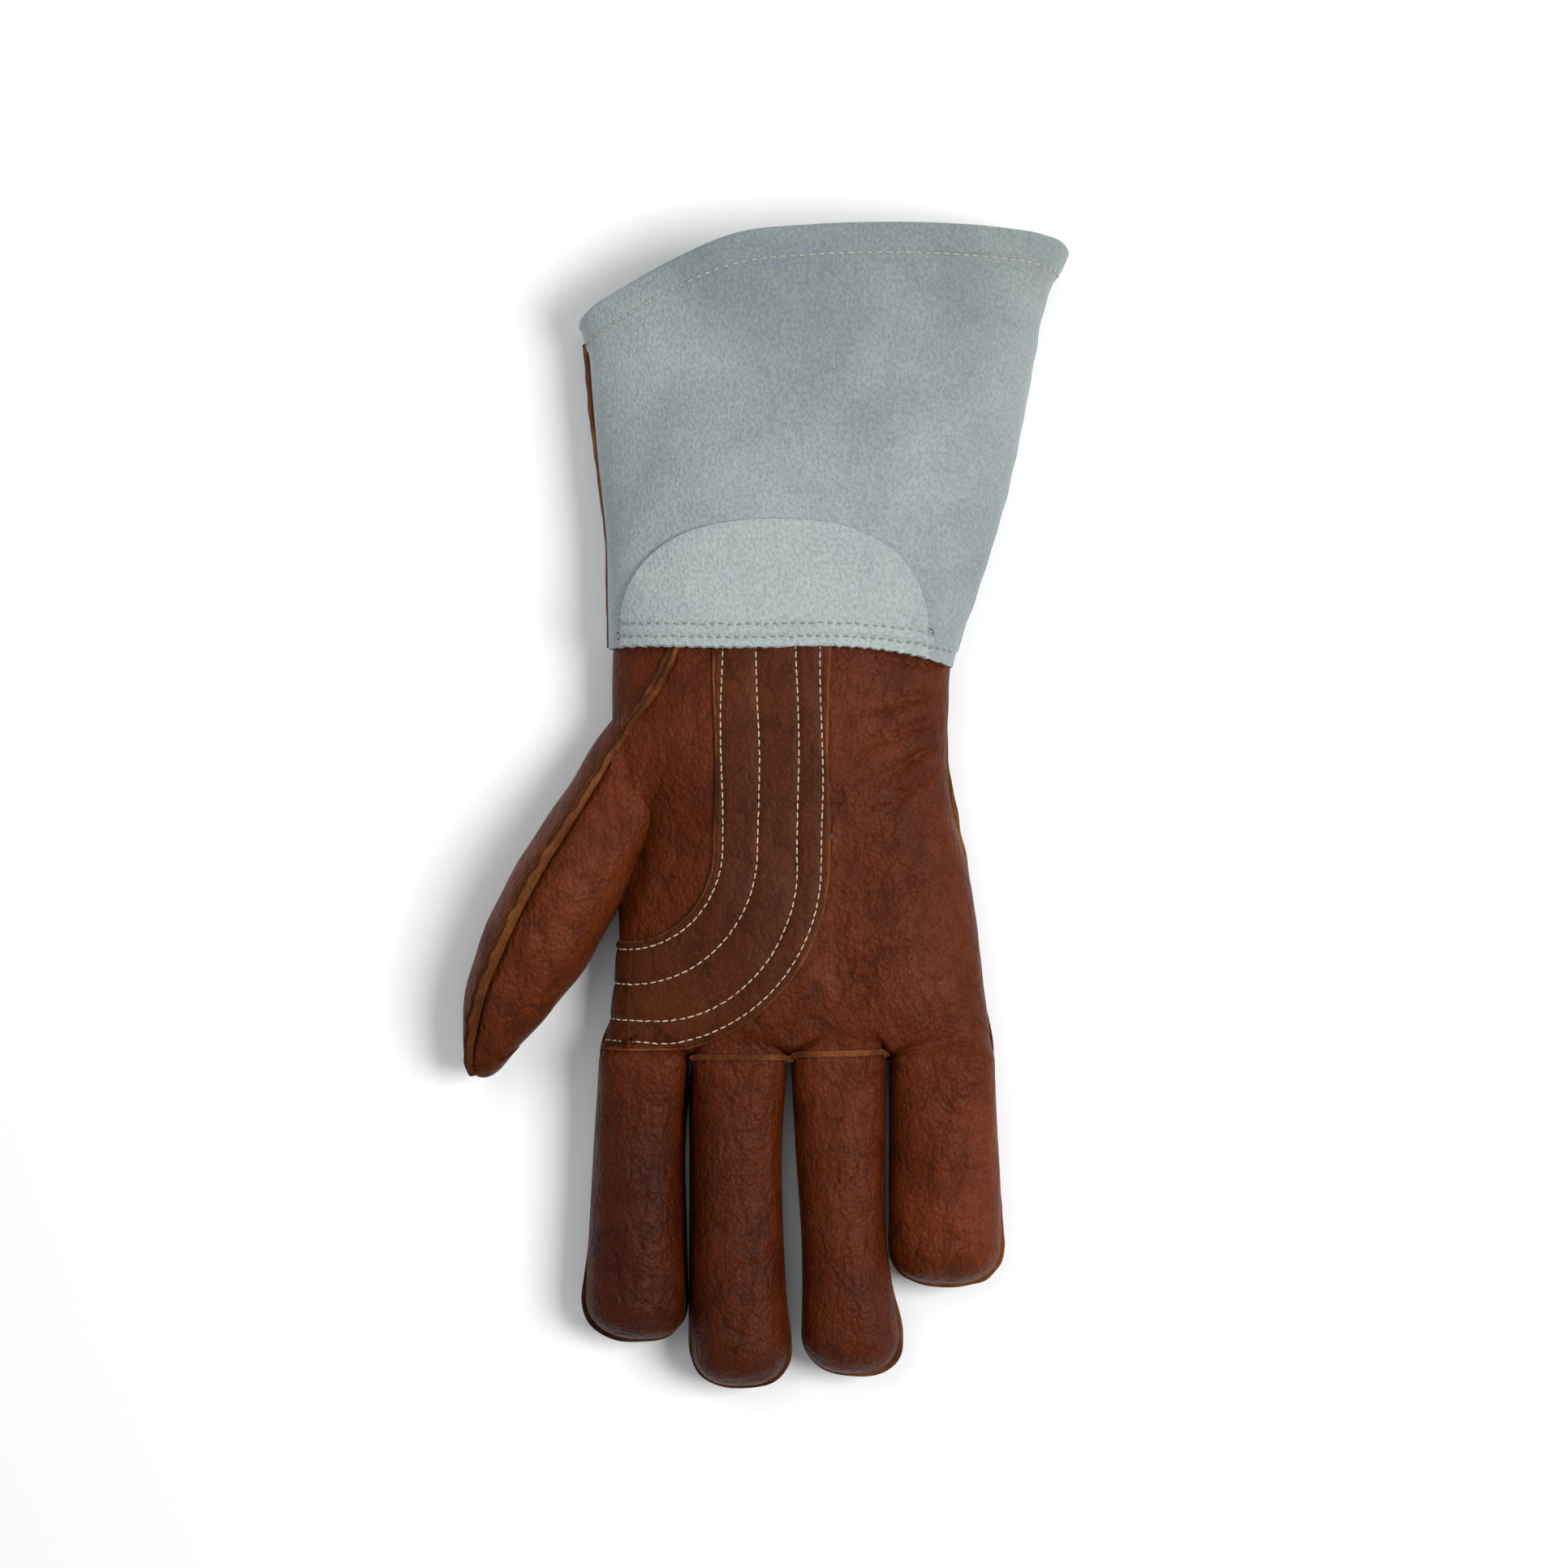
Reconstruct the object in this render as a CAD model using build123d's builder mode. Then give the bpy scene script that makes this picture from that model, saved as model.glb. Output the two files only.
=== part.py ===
from build123d import *
import os
from math import cos, radians, sin, tan

os.makedirs("parts", exist_ok=True)

# A right-hand gauntlet glove for welding, in millimetres. It lies on its back on a bench: palm up (+Z),
# fingers towards -Y, cuff towards +Y, thumb towards -X. The origin is on the bench, under the palm.

# Materials and the gaps between layers
leather = 1.4              # grain leather of the hand
suede = 1.8                # split leather of the cuff
patch_leather = 1.2        # reinforcing strip on the palm
moon_suede = 1.5           # half-moon patch on the cuff
lining_cloth = 0.8
thread = 0.4               # how far a stitch row stands up
thread_width = 0.8
sewn_gap = 0.1             # between two layers sewn together
bend_gap = 0.3             # between panels on either side of a bend line
floor_trim = 1.0           # how much of the round underside is pressed flat
seam_height = 13.0         # where the front panels meet the back panels

# Fingers: name, width at the root, flare of the left and right edges towards the tip, length
finger_rows = [
    ("index", 26.8, 4.0, 0.0, 86.5),
    ("middle", 28.8, 0.0, 0.8, 100.7),
    ("ring", 28.8, 0.0, 1.0, 97.0),
    ("little", 31.0, 0.0, 2.6, 69.7),
]
finger_depth = 26.5
finger_flat = 0.6          # least flat left beside a finger's rounded edges
finger_round = min(11.5, finger_depth / 2 - finger_flat)  # radius along the finger's long edges
finger_clearance = 0.6     # side clearance that lets each finger curl alone
finger_bend_share = 0.48   # place of the middle bend along the finger
tip_lip = 1.4              # raw edge that stands out round a fingertip
tip_lip_width = 2.4
tip_lip_reach = 7.0        # how far the lip runs back from the tip

# Hand: a flattened tube through stations along Y
knuckle_line = -62.0
palm_line = -22.0
heel_line = 15.0
wrist_line = 50.0
first_finger_edge = -54.6  # left edge of the index finger at its root
knuckle_margin = 0.4       # how far the hand is wider than the row of fingers
hand_left = -51.6
palm_right = 60.4
heel_right = 51.6
knuckle_height = finger_depth + 1.5
palm_height = 34.0
heel_height = 35.0
hand_round = 11.0          # corner radius of the tube

# Wrist and its bend
wrist_left = -51.4
wrist_right = 51.4
wrist_height = 32.0
wrist_range = 25.0         # degrees each way
wrist_spare = 1.5          # degrees of spare room in the relief
wrist_pivot_height = 16.0

# Cuff
tuck_line = 76.0           # where the hand leather ends inside the cuff
tuck_left = -50.6
tuck_right = 56.8
tuck_height = 33.0
cuff_edge = 62.0           # lower edge of the cuff, over the hand leather
cuff_middle = 112.0
cuff_middle_left = -54.8
cuff_middle_right = 69.5
cuff_upper = 152.0
cuff_upper_left = -58.6
cuff_upper_right = 77.6
cuff_end = 200.0           # beyond the highest point of the mouth
cuff_end_left = -63.5
cuff_end_right = 90.0
cuff_depth = 38.0
mouth_left = 160.0         # height of the mouth's edge at the left side, middle and right side
mouth_middle = 193.4
mouth_right = 184.0
mouth_peak_x = 36.0
hem_width = 9.0
hem_cloth = 1.2
hem_row = 7.5              # stitch row, below the mouth's edge
welt = 2.0                 # side strip of the cuff
welt_width = 4.0
welt_start = 66.0
welt_end = 156.0

# Half-moon patch and the two rows that join cuff and hand
moon_centre = -1.9
moon_half_width = 46.0
moon_base = 66.0
moon_rise = 36.7
join_rows = [65.8, 69.7]

# Palm strip: rows that run down the palm and bend to the index side.
# Each row: x of its straight run, y of its run to the left, and the centre of the bend.
strip_rows = [
    (-17.6, -29.0, (-50.0, 2.0)),
    (-6.9, -39.5, (-46.0, 2.0)),
    (5.3, -50.3, (-38.0, -3.0)),
    (12.4, -57.3, (-40.0, -3.0)),
]
strip_edge = 2.0           # from the outer rows to the strip's cut edge
root_welt = 1.5            # raw edge of the seam at the root of the two middle fingers
root_welt_width = 1.8
side_seam = 1.4            # raw edge of the seam on the little-finger side
side_seam_width = 2.0

# Elastic on the inside of the back of the wrist
elastic_width = 11.0
elastic_length = 80.0
elastic_thickness = 1.0
elastic_line = 38.0

# Thumb: a round tube that leaves the hand at an angle.
# Stations: distance along the thumb, sideways shift, half width, middle height, half height
thumb_root = (-52.0, 8.0)
thumb_angle = 25.0
thumb_stations = [
    (-36.0, 0.0, 14.0, 14.5, 15.5),
    (0.0, -3.0, 15.0, 14.5, 15.5),
    (25.0, -4.8, 16.8, 14.5, 15.5),
    (45.0, -5.8, 16.0, 13.6, 14.6),
    (62.0, -6.3, 12.5, 12.2, 12.6),
    (76.0, -6.4, 8.0, 10.6, 9.0),
    (84.0, -5.4, 3.8, 10.0, 4.4),
]
thumb_hole_top = 34.0      # thumb hole in the side of the hand
thumb_hole_bottom = -16.0
thumb_hole_rim = 6.0       # leather left below and above the hole
thumb_bend = -52.0
thumb_seam_lip = 2.0       # raw double edge along the thumb
thumb_seam_width = 3.0
thumb_seam_path = [(-34.0, 54.0), (-46.0, 38.0), (-60.0, 14.4), (-74.0, -8.7), (-84.6, -30.8), (-92.6, -57.5)]

# Worked out from the values above
wide = 200.0               # larger than the glove, for cutting tools
fingers = []
edge = first_finger_edge
spare = 0.0
for name, width, left_flare, right_flare, length in finger_rows:
    if fingers:
        edge += spare + left_flare + finger_clearance
    fingers.append((name, edge, edge + width, left_flare, right_flare, length))
    edge += width
    spare = right_flare
hand_stations = [
    (knuckle_line - 4.0, first_finger_edge - knuckle_margin, edge + knuckle_margin, knuckle_height),
    (palm_line, hand_left, palm_right, palm_height),
    (heel_line, hand_left, heel_right, heel_height),
    (wrist_line, wrist_left, wrist_right, wrist_height),
]
wrist_stations = [
    (wrist_line, wrist_left, wrist_right, wrist_height),
    (tuck_line, tuck_left, tuck_right, tuck_height),
]
over = suede + sewn_gap    # the cuff's outer face above the hand leather
cuff_stations = [(y, left - over, right + over, top + over) for y, left, right, top in wrist_stations]
cuff_stations += [
    (cuff_middle, cuff_middle_left, cuff_middle_right, cuff_depth),
    (cuff_upper, cuff_upper_left, cuff_upper_right, cuff_depth),
    (cuff_end, cuff_end_left, cuff_end_right, cuff_depth),
]
relief_angle = wrist_range / 2 + wrist_spare
lining_face = leather + sewn_gap
lining_inside = lining_face + lining_cloth


def tube(stations, inset):
    """Flattened tube through the stations, drawn in by inset all round and flat underneath."""
    with BuildPart() as form:
        for y, left, right, top in stations:
            with BuildSketch(Plane.XZ.offset(-y)):
                with Locations(((left + right) / 2, (top - floor_trim) / 2)):
                    RectangleRounded(right - left - 2 * inset, top + floor_trim - 2 * inset, hand_round - inset)
        loft(ruled=True)
        split(bisect_by=Plane.XY.offset(inset), keep=Keep.TOP)
    return form.part


def finger_form(finger, inset):
    """Closed finger, drawn in by inset: a plan with a round tip, raised to its depth, long edges rounded."""
    name, left, right, left_flare, right_flare, length = finger
    tip_radius = (right + right_flare - left + left_flare) / 2 - inset
    tip_x = (right + right_flare + left - left_flare) / 2
    tip_y = knuckle_line - length + inset + tip_radius
    root_y = knuckle_line + 6.0
    with BuildPart() as form:
        with BuildSketch(Plane.XY.offset(inset)):
            with Locations(((left + right) / 2, root_y)):
                Rectangle(right - left - 2 * inset, 2.0)
            with Locations((tip_x, tip_y)):
                Circle(tip_radius)
            make_hull()
        extrude(amount=finger_depth - 2 * inset)
        rims = form.faces().filter_by(Axis.Z).edges()
        fillet(rims.filter_by(lambda rim: rim.center().Y < root_y), finger_round - inset)
    return form.part


def thumb_plane(along, shift, height):
    """Plane across the thumb at a distance along it, moved sideways by shift and up to height."""
    turn = radians(thumb_angle)
    x = thumb_root[0] - along * sin(turn) + shift * cos(turn)
    y = thumb_root[1] - along * cos(turn) - shift * sin(turn)
    return Plane(origin=(x, y, height), x_dir=(cos(turn), -sin(turn), 0), z_dir=(-sin(turn), -cos(turn), 0))


def thumb_form(inset):
    """Closed thumb, drawn in by inset: ellipses across the thumb, joined, and flat underneath."""
    with BuildPart() as form:
        for along, shift, half_width, height, half_height in thumb_stations:
            with BuildSketch(thumb_plane(along, shift, height)):
                Ellipse(half_width - inset, half_height - inset)
        loft(ruled=True)
        split(bisect_by=Plane.XY.offset(inset), keep=Keep.TOP)
        if inset > 0:
            split(bisect_by=thumb_plane(thumb_stations[-1][0] - inset, 0, 0), keep=Keep.BOTTOM)
    return form.part


def layer(form, *args):
    """Skin between two insets of a form; the last two arguments are its outer and inner inset."""
    with BuildPart() as skin:
        add(form(*args[:-2], args[-2]))
        add(form(*args[:-2], args[-1]), mode=Mode.SUBTRACT)
    return skin.part


def slab(x, y, z):
    """Block given by its x, y and z ranges, for cutting."""
    with BuildPart() as block:
        with Locations(((x[0] + x[1]) / 2, (y[0] + y[1]) / 2, (z[0] + z[1]) / 2)):
            Box(x[1] - x[0], y[1] - y[0], z[1] - z[0])
    return block.part


def cut_from(skin, *keepers, without=()):
    """What the keepers leave of a skin, less the cutters in without."""
    with BuildPart() as piece:
        add(skin)
        for keeper in keepers:
            add(keeper, mode=Mode.INTERSECT)
        for cutter in without:
            add(cutter, mode=Mode.SUBTRACT)
    return piece


def save(piece, label):
    """Names a finished piece and writes its STEP file."""
    piece.part.label = label
    export_step(piece.part, f"parts/{label}.step")


def strip_plan(inner, outer):
    """Prism of the palm strip between two of its lines: down the palm, round the bend, off to the left."""
    with BuildPart() as prism:
        with BuildSketch(Plane.XY.offset(seam_height)):
            with BuildLine():
                lines = []
                for run_x, run_y, bend in (inner, outer):
                    across = run_x - bend[0]
                    down = bend[1] - run_y
                    start = (run_x, wrist_line + wide / 4)
                    lines.append((start, (run_x, bend[1]), bend, across, down, (-wide, run_y)))
                for start, corner, bend, across, down, end in lines:
                    Line(start, corner)
                    EllipticalCenterArc(bend, across, down, start_angle=270, arc_size=90)
                    Line((bend[0], bend[1] - down), end)
                Line(lines[0][0], lines[1][0])
                Line(lines[0][5], lines[1][5])
            make_face()
        extrude(amount=wide / 2)
    return prism.part


def moved_row(row, amount):
    """A row of the palm strip moved outwards by amount."""
    return (row[0] + amount, row[1] - amount, row[2])


def mouth_band(top, bottom):
    """Prism between two copies of the mouth's curve, moved down the cuff by top and bottom."""
    with BuildPart() as prism:
        with BuildSketch(Plane.XY.offset(-wide / 4)):
            with BuildLine():
                ends = []
                for drop in (top, bottom):
                    first = (cuff_upper_left - 12, mouth_left - 6 - drop)
                    last = (cuff_end_right + 8, mouth_right - 3 - drop)
                    shoulder = (cuff_upper_left + 14, (mouth_left + mouth_middle) / 2 - 1 - drop)
                    Spline(first, shoulder, (mouth_peak_x, mouth_middle - drop), last)
                    ends.append((first, last))
                Line(ends[0][0], ends[1][0])
                Line(ends[0][1], ends[1][1])
            make_face()
        extrude(amount=wide / 2)
    return prism.part


def wrist_relief(side):
    """Prism that clears the room for the wrist's bend: side is 1 to keep the hand, -1 to keep the cuff."""
    lean = wide * tan(radians(relief_angle))
    near = wrist_line - side * bend_gap / 2
    with BuildPart() as prism:
        with BuildSketch(Plane.YZ):
            with BuildLine():
                Polyline(
                    (near, wrist_pivot_height),
                    (near - side * lean, wrist_pivot_height + wide),
                    (near + side * wide, wrist_pivot_height + wide),
                    (near + side * wide, wrist_pivot_height - wide),
                    (near - side * lean, wrist_pivot_height - wide),
                    close=True,
                )
            make_face()
        extrude(amount=wide, both=True)
    return prism.part


# Cutting blocks shared by the pieces
every = (-wide, wide)
above_seam = slab(every, (-wide, 2 * wide), (seam_height + sewn_gap / 2, wide))
below_seam = slab(every, (-wide, 2 * wide), (-wide, seam_height - sewn_gap / 2))
past_knuckles = slab(every, (knuckle_line + bend_gap / 2, wide), every)
hand_relief = wrist_relief(1)
cuff_relief = wrist_relief(-1)
hole_top = finger_depth - thumb_hole_rim
thumb_hole = slab((-wide, hand_left + hand_round), (thumb_hole_bottom, thumb_hole_top), (thumb_hole_rim, hole_top))

# Hand: palm and back panels, and the lining between them
hand_skin = layer(tube, hand_stations, 0, leather)
save(cut_from(hand_skin, above_seam, past_knuckles, without=(thumb_hole, hand_relief)), "palm_panel")
save(cut_from(hand_skin, below_seam, past_knuckles, without=(thumb_hole, hand_relief)), "back_panel")
hand_cloth = layer(tube, hand_stations, lining_face, lining_inside)
save(cut_from(hand_cloth, past_knuckles, without=(thumb_hole, hand_relief)), "hand_lining")

# Reinforcing strip on the palm, with its four rows of stitching
strip_outer = -sewn_gap - patch_leather
strip_skin = layer(tube, hand_stations, strip_outer, -sewn_gap)
strip = strip_plan(moved_row(strip_rows[0], -strip_edge), moved_row(strip_rows[-1], strip_edge))
save(cut_from(strip_skin, strip, past_knuckles, without=(hand_relief,)), "palm_patch")
row_skin = layer(tube, hand_stations, strip_outer - sewn_gap / 2 - thread, strip_outer - sewn_gap / 2)
with BuildPart() as patch_stitching:
    for strip_row in strip_rows:
        half = thread_width / 2
        row_prism = strip_plan(moved_row(strip_row, -half), moved_row(strip_row, half))
        add(cut_from(row_skin, row_prism, past_knuckles, without=(hand_relief,)).part)
save(patch_stitching, "patch_stitching")

# Seam across the root of the middle and ring fingers
welt_skin = layer(tube, hand_stations, -sewn_gap - root_welt, -sewn_gap)
root_y = knuckle_line + bend_gap
welt_block = slab((fingers[1][1], fingers[2][2]), (root_y, root_y + root_welt_width), (seam_height, wide))
save(cut_from(welt_skin, welt_block), "finger_base_welt")

# Side seam on the little-finger side
seam_skin = layer(tube, hand_stations, -sewn_gap - side_seam, -sewn_gap)
half_seam = side_seam_width / 2
side_block = slab((0, wide), (root_y, wide), (seam_height - half_seam, seam_height + half_seam))
save(cut_from(seam_skin, side_block, without=(hand_relief,)), "little_side_seam")

# Elastic inside the back of the wrist
with BuildPart() as wrist_elastic:
    with Locations((0, elastic_line, lining_inside + sewn_gap + elastic_thickness / 2)):
        Box(elastic_length, elastic_width, elastic_thickness)
save(wrist_elastic, "wrist_elastic")

# Thumb: front and back panels, lining, and the raw double edge of its seam
thumb_side = slab((-wide, thumb_bend - bend_gap / 2), every, every)
thumb_skin = layer(thumb_form, 0, leather)
save(cut_from(thumb_skin, thumb_side, above_seam), "thumb_front")
save(cut_from(thumb_skin, thumb_side, below_seam), "thumb_back")
save(cut_from(layer(thumb_form, lining_face, lining_inside), thumb_side), "thumb_lining")
with BuildPart() as thumb_seam_band:
    with BuildSketch(Plane.XY.offset(seam_height)):
        with BuildLine() as thumb_seam_line:
            Spline(*thumb_seam_path)
        trace(line_width=thumb_seam_width)
    extrude(amount=wide)
band = thumb_seam_band.part
lip_skin = layer(thumb_form, -sewn_gap - thumb_seam_lip, -sewn_gap)
save(cut_from(lip_skin, band, thumb_side), "thumb_seam")
upper_skin = layer(tube, hand_stations, -sewn_gap - thumb_seam_lip, -sewn_gap)
hand_side = slab((thumb_bend + bend_gap / 2, wide), every, every)
save(cut_from(upper_skin, band, hand_side, without=(hand_relief,)), "thumb_seam_upper")

# Fingers: each is cut at its root and at its middle bend into a base and a tip
for finger in fingers:
    finger_name, left, right, left_flare, right_flare, length = finger
    middle_bend = knuckle_line - finger_bend_share * length
    base_range = (middle_bend + bend_gap / 2, knuckle_line - bend_gap / 2)
    tip_range = (-wide, middle_bend - bend_gap / 2)
    finger_skin = layer(finger_form, finger, 0, leather)
    finger_cloth = layer(finger_form, finger, lining_face, lining_inside)
    for part_name, y_range in (("base", base_range), ("tip", tip_range)):
        stretch = slab(every, y_range, every)
        save(cut_from(finger_skin, stretch, above_seam), f"{finger_name}_front_{part_name}")
        save(cut_from(finger_skin, stretch, below_seam), f"{finger_name}_back_{part_name}")
        save(cut_from(finger_cloth, stretch), f"{finger_name}_lining_{part_name}")
    tip_y = knuckle_line - length
    half_lip = tip_lip_width / 2
    lip_block = slab(every, (-wide, tip_y + tip_lip_reach), (seam_height - half_lip, seam_height + half_lip))
    edge_skin = layer(finger_form, finger, -sewn_gap - tip_lip, -sewn_gap)
    save(cut_from(edge_skin, lip_block), f"{finger_name}_tip_seam")

# Wrist leather inside the cuff
wrist_skin = layer(tube, cuff_stations[:len(wrist_stations)], over, over + leather)
save(cut_from(wrist_skin, above_seam, without=(cuff_relief,)), "wrist_front")
save(cut_from(wrist_skin, below_seam, without=(cuff_relief,)), "wrist_back")

# Cuff: front and back panels, and the hem turned in at the mouth
past_edge = slab(every, (cuff_edge, 2 * wide), every)
below_mouth = mouth_band(0, mouth_middle)
cuff_skin = layer(tube, cuff_stations, 0, suede)
save(cut_from(cuff_skin, past_edge, below_mouth, above_seam), "cuff_front")
save(cut_from(cuff_skin, past_edge, below_mouth, below_seam), "cuff_back")
hem_skin = layer(tube, cuff_stations, suede + sewn_gap, suede + sewn_gap + hem_cloth)
save(cut_from(hem_skin, mouth_band(0, hem_width)), "cuff_hem")

# Side strip and side seam of the cuff
strip_low = seam_height - welt_width / 2
strip_high = seam_height + welt_width / 2
cuff_welt_skin = layer(tube, cuff_stations, -sewn_gap - welt, -sewn_gap)
welt_piece = slab((-wide, 0), (welt_start, welt_end), (strip_low, strip_high))
save(cut_from(cuff_welt_skin, welt_piece), "cuff_side_welt")
cuff_seam_skin = layer(tube, cuff_stations, -sewn_gap - side_seam, -sewn_gap)
seam_piece = slab((0, wide), (cuff_edge, wide), (seam_height - half_seam, seam_height + half_seam))
save(cut_from(cuff_seam_skin, seam_piece, below_mouth), "cuff_outer_seam")

# Half-moon patch on the front of the cuff
with BuildPart() as moon_prism:
    with BuildSketch(Plane.XY.offset(seam_height)):
        with Locations((moon_centre, moon_base)):
            Ellipse(moon_half_width, moon_rise)
        with Locations((moon_centre, (cuff_edge + moon_base) / 2)):
            Rectangle(2 * moon_half_width, moon_base - cuff_edge)
        with Locations((moon_centre, cuff_edge - wide / 2)):
            Rectangle(wide, wide, mode=Mode.SUBTRACT)
    extrude(amount=wide / 2)
moon_outer = -sewn_gap - moon_suede
save(cut_from(layer(tube, cuff_stations, moon_outer, -sewn_gap), moon_prism.part), "vein_patch")

# Two rows of stitching through the half-moon patch, and the row along the hem
join_skin = layer(tube, cuff_stations, moon_outer - sewn_gap / 2 - thread, moon_outer - sewn_gap / 2)
with BuildPart() as cuff_join_stitching:
    for row_y in join_rows:
        half_row = moon_half_width - strip_edge
        row_block = slab(
            (moon_centre - half_row, moon_centre + half_row),
            (row_y - thread_width / 2, row_y + thread_width / 2),
            (seam_height, wide),
        )
        add(cut_from(join_skin, row_block).part)
save(cuff_join_stitching, "cuff_join_stitching")
hem_row_skin = layer(tube, cuff_stations, -sewn_gap / 2 - thread, -sewn_gap / 2)
hem_prism = mouth_band(hem_row, hem_row + thread_width)
save(cut_from(hem_row_skin, hem_prism, slab(every, every, (finger_depth, wide))), "hem_stitching")
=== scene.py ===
import bpy
import numpy as np
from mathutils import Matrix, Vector


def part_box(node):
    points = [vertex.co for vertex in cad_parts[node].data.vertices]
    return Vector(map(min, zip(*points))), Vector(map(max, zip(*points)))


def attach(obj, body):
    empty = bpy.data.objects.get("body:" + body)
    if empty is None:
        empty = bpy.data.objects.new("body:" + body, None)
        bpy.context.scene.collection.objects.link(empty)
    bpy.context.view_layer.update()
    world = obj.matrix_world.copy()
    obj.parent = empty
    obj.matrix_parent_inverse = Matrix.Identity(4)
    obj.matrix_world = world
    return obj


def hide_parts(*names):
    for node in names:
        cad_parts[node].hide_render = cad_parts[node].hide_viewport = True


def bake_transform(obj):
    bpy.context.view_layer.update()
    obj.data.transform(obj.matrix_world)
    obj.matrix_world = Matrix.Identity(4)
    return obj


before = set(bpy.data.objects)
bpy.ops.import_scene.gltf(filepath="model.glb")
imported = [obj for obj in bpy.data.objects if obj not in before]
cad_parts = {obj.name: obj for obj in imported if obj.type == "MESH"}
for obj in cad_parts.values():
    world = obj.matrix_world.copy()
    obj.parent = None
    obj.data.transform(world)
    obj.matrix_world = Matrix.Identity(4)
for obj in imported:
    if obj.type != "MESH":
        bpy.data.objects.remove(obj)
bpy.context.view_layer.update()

# ---------------------------------------------------------------------------------------------------------
# Hand leather: one panel of reddish-brown grain leather is the palm, and the fronts of the index and little
# fingers run on from it. It is cut from a hide about 1.2 mm thick and tucked inside the cuff at the wrist.
# ---------------------------------------------------------------------------------------------------------
MM = 0.001
LEATHER = 1.2
# Height of the side seams above the bench, and of the back's leather where the glove rests on it
SEAM = 13.0
REST = 0.3


def corners(node):
    """Lowest and highest corner of a CAD node, in millimetres."""
    low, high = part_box(node)
    return np.array(low) / MM, np.array(high) / MM


palm_low, palm_high = corners("palm_panel")
KNUCKLE = palm_low[1] - 0.15
WRIST = palm_high[1] + 4.5
TUCK = corners("wrist_front")[1][1]


def soft_step(value, start, end):
    """0 before start, 1 after end, and the cubic 3t^2 - 2t^3 between them."""
    t = np.clip((value - start) / (end - start), 0, 1)
    return t * t * (3 - 2 * t)


def hump(value, centre, width):
    """Bell curve exp(-((value - centre) / width)^2)."""
    return np.exp(-(((value - centre) / width) ** 2))


def curve_through(places, values, at):
    """Smooth curve through (place, value) points: a cubic on each span, its end slopes those of the
    chords beside it, weighted by their lengths."""
    places, values = np.array(places, float), np.array(values, float)
    chord = np.diff(values) / np.diff(places)
    span = np.diff(places)
    inner = (chord[:-1] * span[1:] + chord[1:] * span[:-1]) / (span[:-1] + span[1:])
    slope = np.concatenate([chord[:1], inner, chord[-1:]])
    at = np.clip(np.asarray(at, float), places[0], places[-1])
    i = np.clip(np.searchsorted(places, at, side="right") - 1, 0, len(span) - 1)
    h, t = span[i], (at - places[i]) / span[i]
    return (
        values[i] * (1 + 2 * t) * (1 - t) ** 2
        + slope[i] * h * t * (1 - t) ** 2
        + values[i + 1] * t * t * (3 - 2 * t)
        - slope[i + 1] * h * t * t * (1 - t)
    )


def half_section(turn, left, right, seam, peak, square):
    """x and z of half a tube: the superellipse |x|^n + |z|^n = 1 from the left seam (turn 0), over the
    peak, to the right seam (turn pi). A larger n is squarer."""
    c, s = np.cos(turn), np.sin(turn)
    x = (left + right) / 2 - (right - left) / 2 * np.sign(c) * np.abs(c) ** (2 / square)
    return x, seam + (peak - seam) * np.abs(s) ** (2 / square)


def folds(x, y, seed, count, region, length, width, depth, heading, spread):
    """Sum of shallow creases: each is a bell across its line and along its length, bowed a little.
    Lines have seeded places in region (x0, x1, y0, y1) and headings near heading, in degrees."""
    draw = np.random.default_rng(seed)
    total = np.zeros(np.broadcast(x, y).shape)
    for _ in range(count):
        cx, cy = draw.uniform(region[0], region[1]), draw.uniform(region[2], region[3])
        angle = np.radians(heading + spread * draw.normal())
        reach, thin = length * draw.uniform(0.5, 1.5), width * draw.uniform(0.6, 1.5)
        bow, deep = draw.normal() * 0.012, depth * draw.uniform(0.4, 1.3)
        along = (x - cx) * np.cos(angle) + (y - cy) * np.sin(angle)
        across = -(x - cx) * np.sin(angle) + (y - cy) * np.cos(angle) + bow * along**2
        total -= deep * hump(across, 0, thin) * hump(along, 0, reach)
    return total


def swell(x, y, seed, size, height):
    """Gentle unevenness: the mean of eight seeded sine waves of about the given size."""
    draw = np.random.default_rng(seed)
    total = 0
    for _ in range(8):
        angle, wave = draw.uniform(0, np.pi), size * draw.uniform(0.6, 1.6)
        phase = draw.uniform(0, 2 * np.pi)
        total = total + np.sin((x * np.cos(angle) + y * np.sin(angle)) * 2 * np.pi / wave + phase)
    return total / 8 * height


def grid_normals(points, closed=False):
    """Unit normals of a grid of points: the cross product of its two directions' differences."""
    if closed:
        ring = np.concatenate([points[:, -1:], points, points[:, :1]], axis=1)
        across = (ring[:, 2:] - ring[:, :-2]) / 2
    else:
        across = np.gradient(points, axis=1)
    normal = np.cross(across, np.gradient(points, axis=0))
    return normal / np.maximum(np.linalg.norm(normal, axis=2, keepdims=True), 1e-9)


def put_mesh(name, points, faces, material):
    """Mesh object in the scene, from points in millimetres and a list of faces."""
    mesh = bpy.data.meshes.new(name)
    mesh.from_pydata((points * MM).tolist(), [], faces)
    mesh.polygons.foreach_set("use_smooth", np.ones(len(faces), bool))
    mesh.materials.append(material)
    mesh.update()
    piece = bpy.data.objects.new(name, mesh)
    bpy.context.scene.collection.objects.link(piece)
    return piece


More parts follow.
